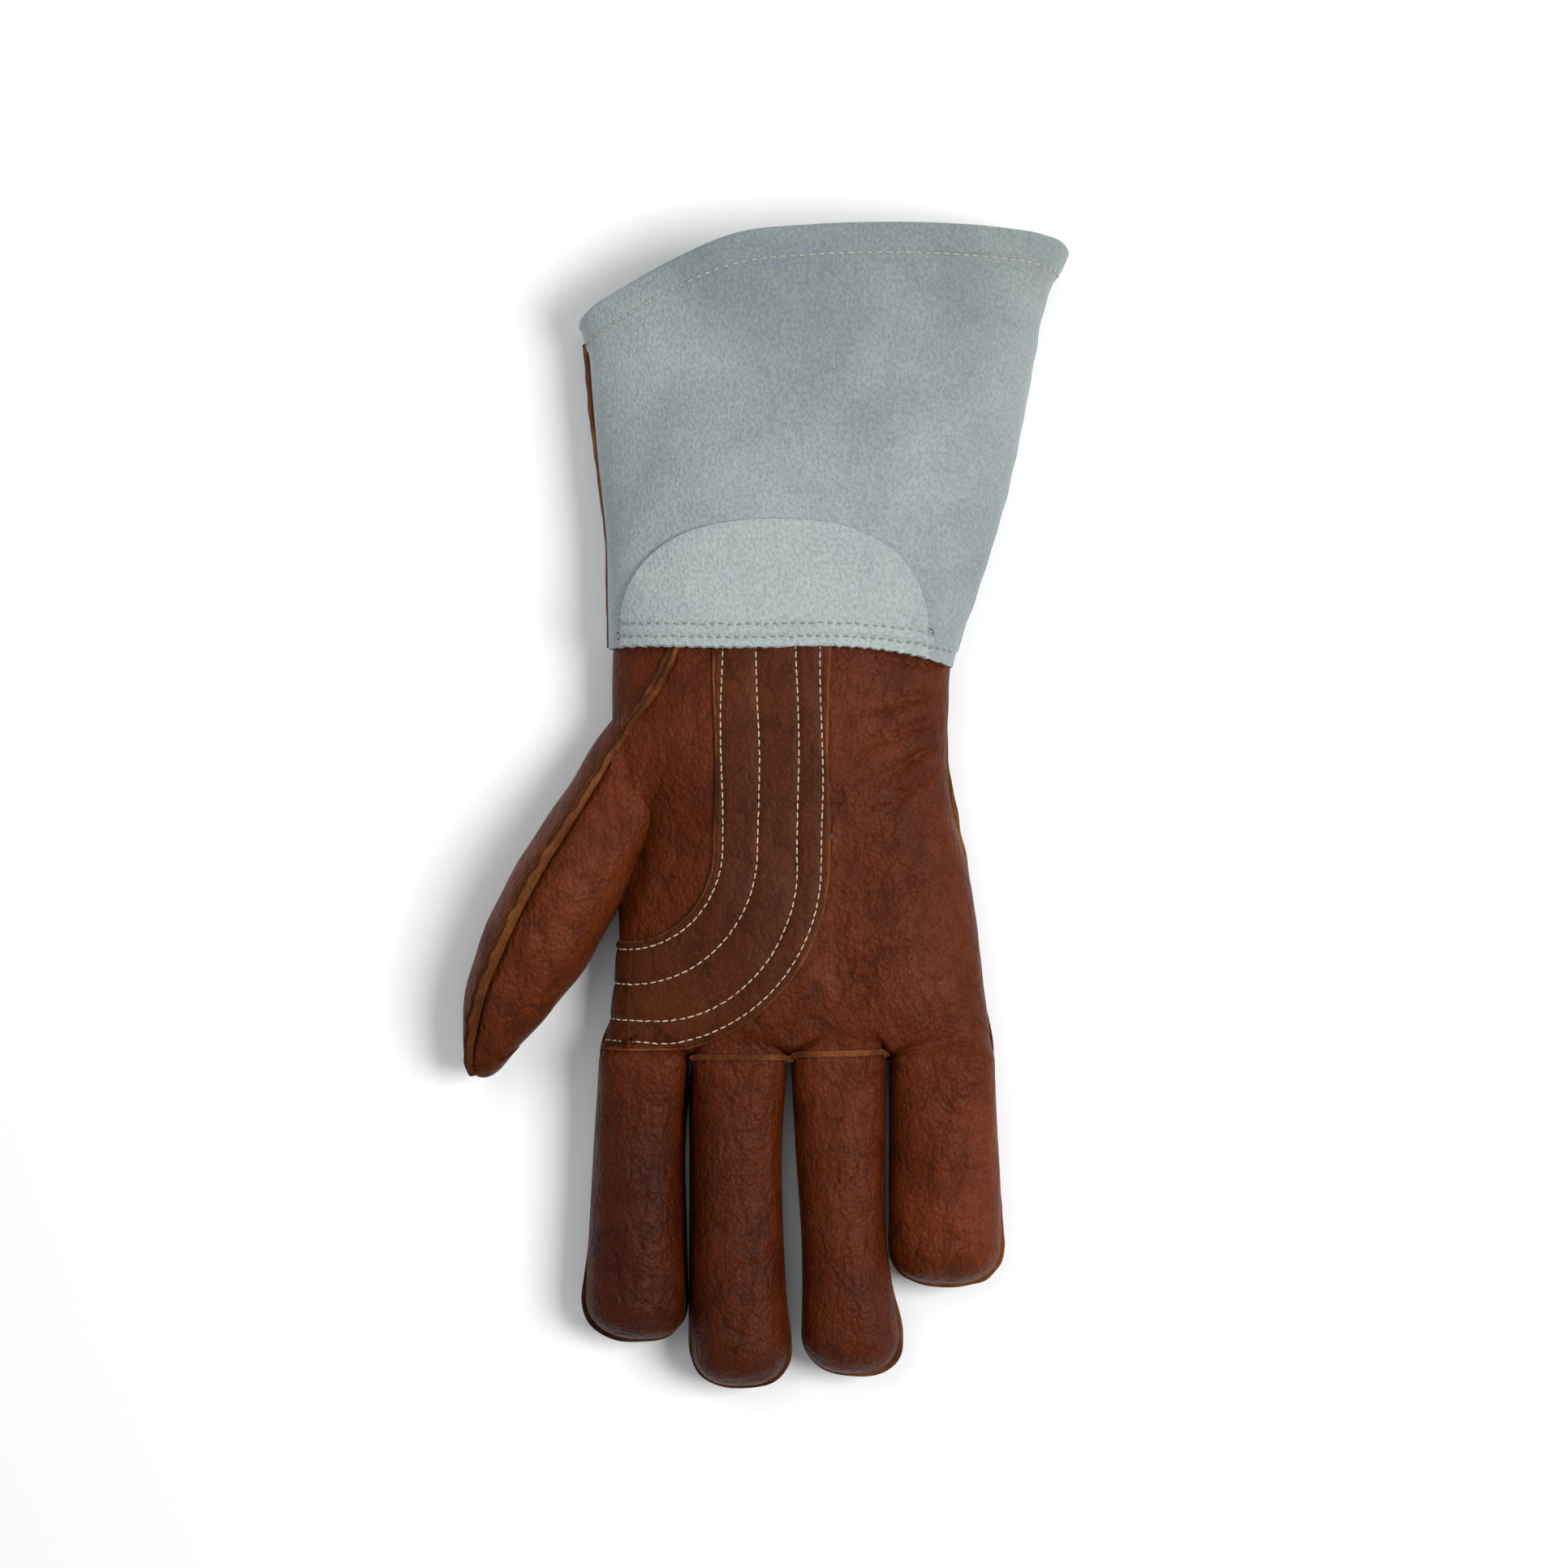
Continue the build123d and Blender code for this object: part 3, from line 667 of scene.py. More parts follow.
def thumb_on_palm(turn, points, along):
    """Lays the root of the thumb onto the palm: its height goes over to the palm's own, sinking just under
    it towards the root's end and towards the fingers, so that the two run together without a step."""
    palm_z = sample(palm_grid, *locate(palm_grid, points[..., 0], points[..., 1]))[..., 2]
    lift = 0.35 - 1.4 * soft_step(-np.cos(turn), 0.1, 0.6) - 1.2 * soft_step(along, -30, -42)
    share = (1 - soft_step(along, -22, 6)) * soft_step(points[..., 0], palm_low[0] + 3.4, palm_low[0] + 8.5)
    share = share * soft_step(np.sin(turn), 0.0, 0.3)
    out = points.copy()
    out[..., 2] = points[..., 2] * (1 - share) + (palm_z + lift) * share
    return out


def thumb_point(turn, along, out=0.0):
    """Thumb's surface: superellipses across a line that leaves the hand at an angle, closing over the tip.
    turn runs from the outer side (0) over the top; out moves the point away from the middle line."""
    measures = (THUMB_SHIFT, THUMB_HALF, THUMB_TOP, THUMB_LOW)
    shift, half, top, low = (curve_through(THUMB_PLACES, measure, along) for measure in measures)
    past = np.clip((along - THUMB_END + THUMB_TIP_RUN) / THUMB_TIP_RUN, 0, 0.9999)
    close = (1 - past**2.2) ** (1 / 2.2)
    c, s = np.cos(turn), np.sin(turn)
    across = shift - (half * close + out) * np.sign(c) * np.abs(c) ** 0.88
    rise = np.where(s > 0, top - THUMB_MIDDLE, THUMB_MIDDLE - low) * close + out
    z = THUMB_MIDDLE + rise * np.sign(s) * np.abs(s) ** 0.88
    x = THUMB_ROOT[0] - along * np.sin(THUMB_ANGLE) + across * np.cos(THUMB_ANGLE)
    y = THUMB_ROOT[1] - along * np.cos(THUMB_ANGLE) - across * np.sin(THUMB_ANGLE)
    return np.stack([x, y, z], axis=-1)


def thumb_relief(turn, along):
    """Folds across the thumb, finer near the crotch, and a pinch beside the standing seam."""
    lap = turn * 15
    worn = folds(lap, along, 71, 30, (10, 70, -20, 78), 7.0, 0.7, 0.3, 20, 50)
    fine = folds(lap, along, 72, 34, (10, 60, -10, 70), 4.0, 0.5, 0.22, 75, 60)
    pinch = -0.9 * hump(turn, thumb_seam_turn(along), 0.13) * soft_step(along, -30, 0)
    fade = 1 - soft_step(along, THUMB_END - 8, THUMB_END - 0.5)
    return (worn + fine + swell(lap, along, 73, 24, 0.8)) * fade + pinch


# A small ring-shaped scar in the hide, near the middle of the thumb
SCAR = (-61.0, -27.0)
THUMB_ROWS = 130
thumb_even = np.linspace(0, 1, THUMB_ROWS)[:, None]
thumb_straight = THUMB_END - THUMB_TIP_RUN
thumb_along = np.where(
    thumb_even < 0.86,
    THUMB_PLACES[0] + (thumb_straight - THUMB_PLACES[0]) * thumb_even / 0.86,
    thumb_straight + THUMB_TIP_RUN * np.sin(np.clip(thumb_even - 0.86, 0, 1) / 0.14 * np.pi / 2 * DOME),
)


def bend_at_thumb(piece):
    """Bakes the piece's placement into its mesh; the piece is not bent here."""
    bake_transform(piece)


for side, first, last, cols in (("front", 0.0, np.pi, 96), ("back", -0.67 * np.pi, 0.0, 84)):
    turn = thumb_seam_turn(thumb_along) + np.linspace(first, last, cols)[None, :]
    along = thumb_along + 0 * turn
    grid = thumb_on_palm(turn, thumb_point(turn, along), along)
    grid = grid - grid_normals(grid) * thumb_relief(turn, along)[..., None]
    from_scar = np.hypot((grid[..., 0] - SCAR[0]) / 1.3, (grid[..., 1] - SCAR[1]) / 1.9)
    grid[..., 2] += 0.45 * hump(from_scar, 1.0, 0.45) * (grid[..., 2] > SEAM)
    piece = shell(f"thumb_{side}_leather", grid, LEATHER, thumb_leather, -1)
    stand_for(piece, "hand_leather", f"thumb_{side}")
    bend_at_thumb(piece)

# ---------------------------------------------------------------------------------------------------------
# Raw seam edges: wherever two panels are sewn flesh to flesh, both cut edges stand out as a double lip
# about 2 mm high, paler and more orange than the grain side. The tallest runs along the thumb.
# ---------------------------------------------------------------------------------------------------------
raw_edge = grain_leather(
    "raw_edge", (0.060, 0.0150, 0.0035), (0.125, 0.037, 0.0085), (0.23, 0.080, 0.020), grain=0.6, rough=0.62
)


def run_along(points):
    """Distance run from a line's first point to each of its points."""
    return np.concatenate([[0], np.cumsum(np.linalg.norm(np.diff(points, axis=0), axis=1))])


def at_runs(runs, known, values):
    """Rows of values, known at some runs along a line, at other runs, by straight interpolation."""
    return np.stack([np.interp(runs, known, values[:, k]) for k in range(values.shape[1])], axis=-1)


def unit(v):
    """Vectors of length 1."""
    return v / np.maximum(np.linalg.norm(v, axis=-1, keepdims=True), 1e-9)


def lip(name, path, up, height, width, material, notch=0.35, sides=20):
    """Double lip swept along a path: a rounded rectangle, width across and height along up, with a notch
    along its top where the two layers meet, closed at both ends. height and width may change on the way."""
    along = unit(np.gradient(path, axis=0))
    up = unit(up - (up * along).sum(-1, keepdims=True) * along)
    across = np.cross(along, up)
    turn = np.linspace(0, 2 * np.pi, sides, endpoint=False)
    c, s = np.cos(turn), np.sin(turn)
    side = np.sign(c) * np.abs(c) ** 0.6 / 2
    rise = np.sign(s) * np.abs(s) ** 0.6 / 2 + 0.5
    rise = rise - notch * hump(turn, np.pi / 2, 0.3)
    height, width = np.broadcast_to(height, len(path)), np.broadcast_to(width, len(path))
    skin = (
        path[:, None]
        + across[:, None] * (side[None, :] * width[:, None])[..., None]
        + up[:, None] * ((rise[None, :] * height[:, None]) - 0.4)[..., None]
    )
    ends = [skin[:1].mean(1, keepdims=True), skin[-1:].mean(1, keepdims=True)]
    count = len(path)
    points = np.concatenate([skin.reshape(-1, 3), ends[0][0], ends[1][0]])
    number = np.arange(count * sides).reshape(count, sides)
    after = np.roll(number, -1, axis=1)
    body = np.stack([number[:-1], number[1:], after[1:], after[:-1]], axis=-1).reshape(-1, 4)
    start, finish = count * sides, count * sides + 1
    cap_a = np.stack([number[0], after[0], np.full(sides, start)], axis=-1)
    cap_b = np.stack([after[-1], number[-1], np.full(sides, finish)], axis=-1)
    return put_mesh(name, points, body.tolist() + cap_a.tolist() + cap_b.tolist(), material)


def uneven(count, seed, amount, wave=0.35):
    """Hand-cut unevenness along a lip: 1 plus seeded sines of the given amount."""
    draw = np.random.default_rng(seed)
    i = np.arange(count)
    waves = [np.sin(i * wave * draw.uniform(0.5, 2.2) + draw.uniform(0, 6)) for _ in range(3)]
    return 1 + amount * sum(waves) / 2


SEAM_STEPS, END_STEPS = 150, 45
seam_along = np.linspace(-29, THUMB_END - 0.8, SEAM_STEPS)
round_end = np.linspace(0, 1, END_STEPS + 1)[1:]
end_turn = thumb_seam_turn(THUMB_END) + np.radians(112) * round_end
seam_turn = np.concatenate([thumb_seam_turn(seam_along), end_turn])
seam_along = np.concatenate([seam_along, THUMB_END - 0.8 - 13 * round_end**1.6])
seam_line = thumb_on_palm(seam_turn, thumb_point(seam_turn, seam_along), seam_along)
seam_out = unit(thumb_point(seam_turn, seam_along) - thumb_point(seam_turn, seam_along, -4.0))
past_end = np.concatenate([np.zeros(SEAM_STEPS), round_end])
seam_out = seam_out + np.array([-0.8, 0.25, 0.1]) * (1 - soft_step(past_end, 0, 0.3))[:, None]
seam_high = (2.4 + 1.5 * soft_step(seam_along, -10, 15)) * uneven(len(seam_along), 81, 0.16)
seam_high = seam_high * (1 - 0.45 * soft_step(seam_along, THUMB_END - 20, THUMB_END))
seam_high = seam_high * (1 - 0.9 * soft_step(past_end, 0.1, 1.0))
seam_wide = 2.9 - 2.3 * soft_step(past_end, 0.1, 1.0)
# The seam runs from the wrist's side over the top and round under the tip, where it thins away
piece = lip("thumb_seam_edge", seam_line, seam_out, seam_high, seam_wide, raw_edge, notch=0.5)
stand_for(piece, "raw_edge", "thumb_seam")
bend_at_thumb(piece)

# Its upper run goes on over the palm's side and in under the cuff
palm_normals = -grid_normals(palm_grid)
upper_y = np.linspace(TUCK - 8, 35.5, 60)
upper_x = curve_through([20, 28.8, 38, 51, 63.7, 76], [-57.0, -52.3, -46.2, -37.0, -31.3, -27.0], upper_y)
upper_line = sample(palm_grid, *locate(palm_grid, upper_x, upper_y))
upper_high = 2.4 * uneven(len(upper_y), 82, 0.12)
upper_out = np.array([-0.9, 0.2, 1.0]) + 0 * upper_line
upper_wide = 2.4 + 1.8 * hump(upper_y, 58, 12)
piece = lip("thumb_seam_upper_edge", upper_line, upper_out, upper_high, upper_wide, raw_edge)
stand_for(piece, "raw_edge", "thumb_seam_upper")
bend_at_wrist(piece)

# Side seam from the wrist to the little finger
side_y = np.linspace(TUCK - 8, KNUCKLE + 0.5, 130)
side_line = np.stack([curve_through(*HAND_RIGHT, side_y) - 0.3, side_y, SEAM + 0 * side_y], axis=-1)
side_high = (0.5 + 1.5 * hump(side_y, 14, 15)) * uneven(len(side_y), 83, 0.2)
side_high = side_high * soft_step(side_y, KNUCKLE - 1, KNUCKLE + 14) + 0.1
side_out = np.array([1.0, 0, 0.35]) + 0 * side_line
piece = lip("little_side_seam_edge", side_line, side_out, side_high, 2.2, raw_edge)
stand_for(piece, "raw_edge", "little_side_seam")
bend_at_wrist(piece)

# Seam across the root of the two middle fingers, in two scallops that meet in a point
root_runs = []
for finger_name in ("middle", "ring"):
    number = FINGER_NAMES.index(finger_name)
    first = number * (FINGER_COLS - 1)
    root_runs.append(palm_grid[-1, first + 2 : first + FINGER_COLS - 2])
root_line = np.concatenate(root_runs)
even = np.linspace(0, len(root_line) - 1, 110)
root_line = at_runs(even, np.arange(len(root_line)), root_line)
root_line[:, 2] = np.clip(root_line[:, 2], 24.0, None)
for axis in (1, 2):
    root_line[:, axis] = np.convolve(np.pad(root_line[:, axis], 4, mode="edge"), np.ones(9) / 9, "valid")
root_up = np.array([0, 0.2, 1.0]) + 0 * root_line
root_high = 2.0 * uneven(len(root_line), 84, 0.12)
piece = lip("finger_root_seam_edge", root_line, root_up, root_high, 2.0, raw_edge)
stand_for(piece, "raw_edge", "finger_base_welt")
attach(piece, "hand")

# Lips round the fingertips: low along the sides, standing out most where each tip was sewn fullest
LIP_SIDE = {"index": -1.0, "middle": 0.35, "ring": 1.0, "little": 0.4}
for seed, finger_name in enumerate(FINGER_NAMES):
    split, _ = finger_split(finger_name)
    left_col, right_col = np.zeros(1), np.full(1, np.pi)
    left_side = finger_grid(finger_name, True, split, PAST_TIP, 70, left_col)[0][:, 0]
    right_side = finger_grid(finger_name, True, split, PAST_TIP, 70, right_col)[0][:, 0]
    round_tip = np.concatenate([left_side, right_side[::-1]])
    tip_x = (left_side[-1, 0] + right_side[-1, 0]) / 2
    from_tip = round_tip[:, 1] - round_tip[:, 1].min()
    side_sign = np.clip((round_tip[:, 0] - tip_x) / 12.0, -1, 1)
    high = 0.3 + 1.5 * (1 - soft_step(from_tip, 4, 34)) * (0.75 + 0.45 * side_sign * LIP_SIDE[finger_name])
    begun = soft_step(from_tip.max() - from_tip, 0, 9)
    high = np.clip(high, 0.25, 2.4) * uneven(len(round_tip), 90 + seed, 0.1) * begun + 0.05
    ahead = np.gradient(round_tip, axis=0)
    outward = unit(np.stack([ahead[:, 1], -ahead[:, 0], 0 * from_tip], axis=-1))
    piece = lip(f"{finger_name}_tip_seam_edge", round_tip, outward, high, 1.9, raw_edge, notch=0.25, sides=16)
    stand_for(piece, "raw_edge", f"{finger_name}_tip_seam")
    bend_finger(piece)

# ---------------------------------------------------------------------------------------------------------
# Palm strip: a band of smoother, darker leather sewn over the palm where a rod or tool rests. It runs down
# from the wrist, bends round below the thumb and goes off the index side, held by four rows of stitching.
# ---------------------------------------------------------------------------------------------------------
strip_leather = grain_leather(
    "strip_leather", (0.062, 0.0125, 0.0026), (0.075, 0.0155, 0.0034), (0.090, 0.0195, 0.0046),
    grain=0.6, rough=0.5,
)
STRIP_THICK = 1.3
EASE = 15
# x of each line's straight run, y of its run to the side, and the middle of its bend
STRIP_LINES = [
    (-19.6, -27.0, -47.0, 2.0), (-17.6, -29.0, -47.0, 2.0), (-6.9, -39.5, -46.0, 2.0),
    (5.0, -50.3, -38.0, -3.0), (12.2, -57.3, -40.0, -3.0), (14.2, -59.3, -40.0, -3.0),
]
STRIP_TOP = TUCK - 9
# x where the lines stop running level, and the palm's column down the side where the strip ends
STRIP_LEVEL_END = -47.0
STRIP_SIDE_COL = 5.0


def strip_line(run_x, run_y, bend_x, bend_y, count=210):
    """Row and column on the palm of one line of the strip: straight down, a quarter ellipse, then level
    to the side seam."""
    down = np.stack([np.full(70, run_x), np.linspace(STRIP_TOP, bend_y, 70)], axis=-1)
    turn = np.linspace(0, np.pi / 2, 90)[1:]
    arc_x, arc_y = bend_x + (run_x - bend_x) * np.cos(turn), bend_y + (run_y - bend_y) * np.sin(turn)
    arc = np.stack([arc_x, arc_y], axis=-1)
    level = np.stack([np.linspace(bend_x, STRIP_LEVEL_END, 14)[1:], np.full(13, run_y)], axis=-1)
    path = np.concatenate([down, arc, level] if bend_x > STRIP_LEVEL_END else [down, arc])
    path[:, 0] += 0.5 * np.sin(path[:, 1] * 0.09 + run_x) * soft_step(path[:, 1], -20, 30)
    row, col = locate(palm_grid, path[:, 0], path[:, 1])
    side = np.linspace(col[-1], STRIP_SIDE_COL, 14)[1:]
    start_y, end_y = (sample(palm_grid, np.full(13, end), side)[:, 1] for end in (0, HAND_ROWS - 1.001))
    side_row = (path[-1, 1] - start_y) / (end_y - start_y) * (HAND_ROWS - 1)
    row, col = np.concatenate([row, side_row]), np.concatenate([col, side])
    place = sample(palm_grid, row, col)
    gone = run_along(place)
    even = np.linspace(0, gone[-1], count)
    return np.interp(even, gone, row), np.interp(even, gone, col)


strip_lines = [strip_line(*line) for line in STRIP_LINES]
strip_rc = np.stack([np.stack(line, axis=-1) for line in strip_lines], axis=1)
# Across the strip: the two edges, the four rows, and the leather between them
edge_steps = [0, 0.25, 0.6, 1, 1.06, 1.2, 1.5, 1.8, 1.94, 2, 2.06, 2.2, 2.4, 2.6, 2.8, 2.94, 3,
              3.06, 3.25, 3.5, 3.75, 3.94, 4, 4.4, 4.75, 5]
across = np.array(edge_steps)
i = np.clip(across.astype(int), 0, 4)
f = (across - i)[None, :, None]
strip_at = strip_rc[:, i] * (1 - f) + strip_rc[:, i + 1] * f
strip_base = sample(palm_grid, strip_at[..., 0], strip_at[..., 1])
strip_up = sample(palm_normals, strip_at[..., 0], strip_at[..., 1])


def eased(values, window):
    """Running mean along the first axis, with the ends repeated."""
    padded = np.concatenate([values[:1]] * (window // 2) + [values] + [values[-1:]] * (window // 2))
    total = np.cumsum(np.concatenate([0 * padded[:1], padded]), axis=0)
    return (total[window:] - total[:-window]) / window


# The strip is stiffer than the palm and bridges its hollows
bridged = soft_step(strip_base[..., 0], -49, -41)
level_z = eased(eased(strip_base[..., 2], EASE), EASE)
strip_base[..., 2] += bridged * np.maximum(level_z - strip_base[..., 2], 0)
strip_up = unit(strip_up + bridged[..., None] * (eased(strip_up, 13) - strip_up))
sunk = sum(hump(across, n, 0.05 if n in (1, 4) else 0.035) for n in (1, 2, 3, 4))
thick = STRIP_THICK - 0.42 * sunk + 0.25 * np.abs(np.sin(across * np.pi)) * (across > 1) * (across < 4)
thick = thick - 0.3 * (across == 0) - 0.3 * (across == 5)
strip_s = np.linspace(0, 1, strip_at.shape[0])[:, None]
pucker = 0.12 * np.sin(strip_s * 520) * hump(across % 1.0, 0.0, 0.12)[None, :]
strip_grid = strip_base + strip_up * (thick[None, :] + pucker)[..., None]
piece = shell("palm_strip", strip_grid, STRIP_THICK + 0.5, strip_leather, -1)
stand_for(piece, "strip_leather", "palm_patch")
bend_at_wrist(piece)
for side, column in (("thumb", 0), ("finger", -1)):
    cut_up = strip_up[:, column]
    cut_line = strip_grid[:, column] - 0.5 * cut_up
    cut_high = uneven(len(cut_line), 87, 0.1)
    piece = lip(f"palm_strip_{side}_edge", cut_line, cut_up, cut_high, 1.1, raw_edge, notch=0.0, sides=10)
    bend_at_wrist(piece)

cream_thread, thread_tree, thread_skin = shader("cream_thread", (0.55, 0.44, 0.30), 0.75, 0.25, sheen=0.2)
twist = texture(thread_tree, "Noise", 1800.0, Detail=2.0)
painted(
    thread_tree, thread_skin, twist.outputs["Fac"],
    [(0.35, (0.34, 0.25, 0.15)), (0.55, (0.58, 0.47, 0.32)), (0.75, (0.72, 0.62, 0.46))],
)


def stitches(name, lines, pitch, length, width, material):
    """Rows of stitches: along each line, one short round-ended thread every pitch, its two ends sunk.
    lines are (points, up) pairs; each stitch is a tube of six rings whose radius follows sqrt(1 - a^4)."""
    place = np.linspace(-1, 1, 6)
    radius = np.sqrt(np.clip(1 - place**4, 0.02, 1))
    ring = np.linspace(0, 2 * np.pi, 6, endpoint=False)
    number = np.arange(36).reshape(6, 6)
    after = np.roll(number, -1, axis=1)
    one = np.stack([number[:-1], after[:-1], after[1:], number[1:]], axis=-1).reshape(-1, 4)
    caps = np.array([[5, 4, 3, 2], [5, 2, 1, 0], [30, 31, 32, 33], [30, 33, 34, 35]])
    one = np.concatenate([one, caps])
    all_points, all_faces, start = [], [], 0
    for points, up in lines:
        gone = run_along(points)
        middle = np.arange(pitch / 2, gone[-1], pitch)
        at, high = at_runs(middle, gone, points), unit(at_runs(middle, gone, up))
        along = unit(at_runs(middle + 0.3, gone, points) - at_runs(middle - 0.3, gone, points))
        side = np.cross(along, high)
        draw = np.random.default_rng(len(middle))
        lean = draw.normal(0, 0.05, len(middle))[:, None]
        along = unit(along + side * lean)
        arch = 0.16 * (1 - place**2)
        wide = radius[:, None] * np.cos(ring)[None, :] * width / 2
        tall = radius[:, None] * np.sin(ring)[None, :] * width * 0.42 + arch[:, None]
        tube = (
            at[:, None, None]
            + along[:, None, None] * (place * length / 2)[None, :, None, None]
            + side[:, None, None] * wide[None, :, :, None]
            + high[:, None, None] * tall[None, :, :, None]
        )
        all_points.append(tube.reshape(-1, 3))
        offsets = start + 36 * np.arange(len(middle))
        all_faces.append((one[None] + offsets[:, None, None]).reshape(-1, 4))
        start += 36 * len(middle)
    faces = np.concatenate(all_faces)[:, ::-1]
    return put_mesh(name, np.concatenate(all_points), faces.tolist(), material)


strip_rows = []
for n in (1, 2, 3, 4):
    column = int(np.argmin(np.abs(across - n)))
    strip_rows.append((strip_grid[:, column] + 0.12 * strip_up[:, column], strip_up[:, column]))
piece = stitches("palm_strip_stitches", strip_rows, 2.75, 2.3, 0.44, cream_thread)
stand_for(piece, "cream_thread", "patch_stitching")
bend_at_wrist(piece)

# ---------------------------------------------------------------------------------------------------------
# Lining: soft cream cloth inside the hand, the fingers and the thumb, caught in the seams.
# ---------------------------------------------------------------------------------------------------------
lining_cloth, lining_tree, lining_skin = shader("lining_cloth", (0.60, 0.54, 0.44), 0.95, 0.1, sheen=0.4)
fleece = texture(lining_tree, "Noise", 700.0, Detail=4.0)
weave = texture(lining_tree, "Voronoi", 1300.0)
painted(
    lining_tree, lining_skin, fleece.outputs["Fac"], [(0.3, (0.50, 0.44, 0.35)), (0.7, (0.68, 0.62, 0.52))]
)
relief(lining_tree, lining_skin, [
    (fleece.outputs["Fac"], 0.6, 0.0006),
    (weave.outputs["Distance"], 0.4, 0.0003),
])
LINING_IN = 2.4
LINING_THICK = 0.7
ring_turns = np.linspace(0, 2 * np.pi, 72, endpoint=False)


def ring_points(left, right, low, peak, y, square, inset):
    """Whole section of a tube, drawn in by inset: a superellipse over the seam line and one under it."""
    c, s = np.cos(ring_turns)[None, :], np.sin(ring_turns)[None, :]
    half = (right - left)[:, None] / 2 - inset
    x = ((left + right) / 2)[:, None] - half * np.sign(c) * np.abs(c) ** (2 / square)
    rise = np.where(s > 0, (peak - SEAM)[:, None] - inset, (SEAM - low)[:, None] - inset)
    return np.stack([x, y[:, None] + 0 * x, SEAM + rise * np.sign(s) * np.abs(s) ** (2 / square)], axis=-1)


lining_y = np.linspace(TUCK - 10, KNUCKLE + 15, 90)
grid = ring_points(
    curve_through(*HAND_LEFT, lining_y) + 7.0 * hump(lining_y, -8, 34), curve_through(*HAND_RIGHT, lining_y),
    REST + 0 * lining_y,
    curve_through(*HAND_PEAK, lining_y) - 7.0 * soft_step(lining_y, 70, 30) * 0.9, lining_y, 2.6, LINING_IN,
)
piece = shell("hand_lining_cloth", grid, LINING_THICK, lining_cloth, -1, closed=True)
stand_for(piece, "lining_cloth", "hand_lining")
bend_at_wrist(piece)
for finger_name in FINGER_NAMES:
    split, _ = finger_split(finger_name)
    reach = KNUCKLE - corners(finger_name + "_front_tip")[0][1]
    dome = reach - TIP_RUN + (TIP_RUN - 2.6) * np.sin(np.linspace(0.1, 1.5, 14))
    to_tip = np.concatenate([np.linspace(split, reach - TIP_RUN, 20), dome])
    for part, away in (("base", np.linspace(1.0, split, 20)), ("tip", to_tip)):
        left, right, peak, straight = finger_edges(finger_name, away)
        past = np.clip((away - straight) / (TIP_RUN - 2.4), 0, 0.999)
        close = (1 - past**2.3) ** (1 / 2.3)
        middle, half = (left + right) / 2, (right - left) / 2 - LINING_IN
        peak = SEAM + (peak - 1.2 - SEAM - LINING_IN) * close + LINING_IN
        low = SEAM - (SEAM - REST - LINING_IN) * close - LINING_IN
        half = half * close + LINING_IN
        grid = ring_points(middle - half, middle + half, low, peak, KNUCKLE - away, 2.2, LINING_IN)
        piece = shell(f"{finger_name}_lining_{part}_cloth", grid, LINING_THICK, lining_cloth, -1, closed=True)
        stand_for(piece, "lining_cloth", f"{finger_name}_lining_{part}")
        bend_finger(piece)
lining_along = np.linspace(6, THUMB_END - 3.5, 60)[:, None]
grid = thumb_point(-ring_turns[None, :], lining_along, -LINING_IN)
piece = shell("thumb_lining_cloth", grid, LINING_THICK, lining_cloth, 1, closed=True)
stand_for(piece, "lining_cloth", "thumb_lining")
bend_at_thumb(piece)

# ---------------------------------------------------------------------------------------------------------
# Wrist elastic: a ribbed woven band sewn across the inside of the back, which draws the wrist in.
# ---------------------------------------------------------------------------------------------------------
elastic_low, elastic_high = corners("wrist_elastic")
elastic, elastic_tree, elastic_skin = shader("elastic", (0.70, 0.68, 0.64), 0.8, 0.2, sheen=0.2)
rib = texture(elastic_tree, "Wave", 260.0, (0, 1, 0))
relief(elastic_tree, elastic_skin, [(rib.outputs["Fac"], 0.5, 0.0004)])
speck = texture(elastic_tree, "Noise", 900.0)
painted(
    elastic_tree, elastic_skin, speck.outputs["Fac"], [(0.3, (0.6, 0.58, 0.54)), (0.7, (0.76, 0.74, 0.70))]
)
x, y = np.meshgrid(
    np.linspace(elastic_low[0], elastic_high[0], 200), np.linspace(elastic_high[1], elastic_low[1], 14)
)
z = elastic_high[2] + 1.0 + 0.3 * np.sin(x * 1.6)
piece = shell("wrist_elastic_band", np.stack([x, y, z], axis=-1), 1.0, elastic, -1)
stand_for(piece, "elastic", "wrist_elastic")
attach(piece, "hand")

# ---------------------------------------------------------------------------------------------------------
# Cuff: two panels of blue-grey split leather, napped on both faces, sewn together at the sides and over the
# hand leather at the wrist. It flares to the mouth, where the edge is turned in and stitched as a hem.
# ---------------------------------------------------------------------------------------------------------
SUEDE = 1.5
BACK_REST = 0.5
cuff_low, cuff_high = corners("cuff_front")
welt_low, welt_high = corners("cuff_side_welt")


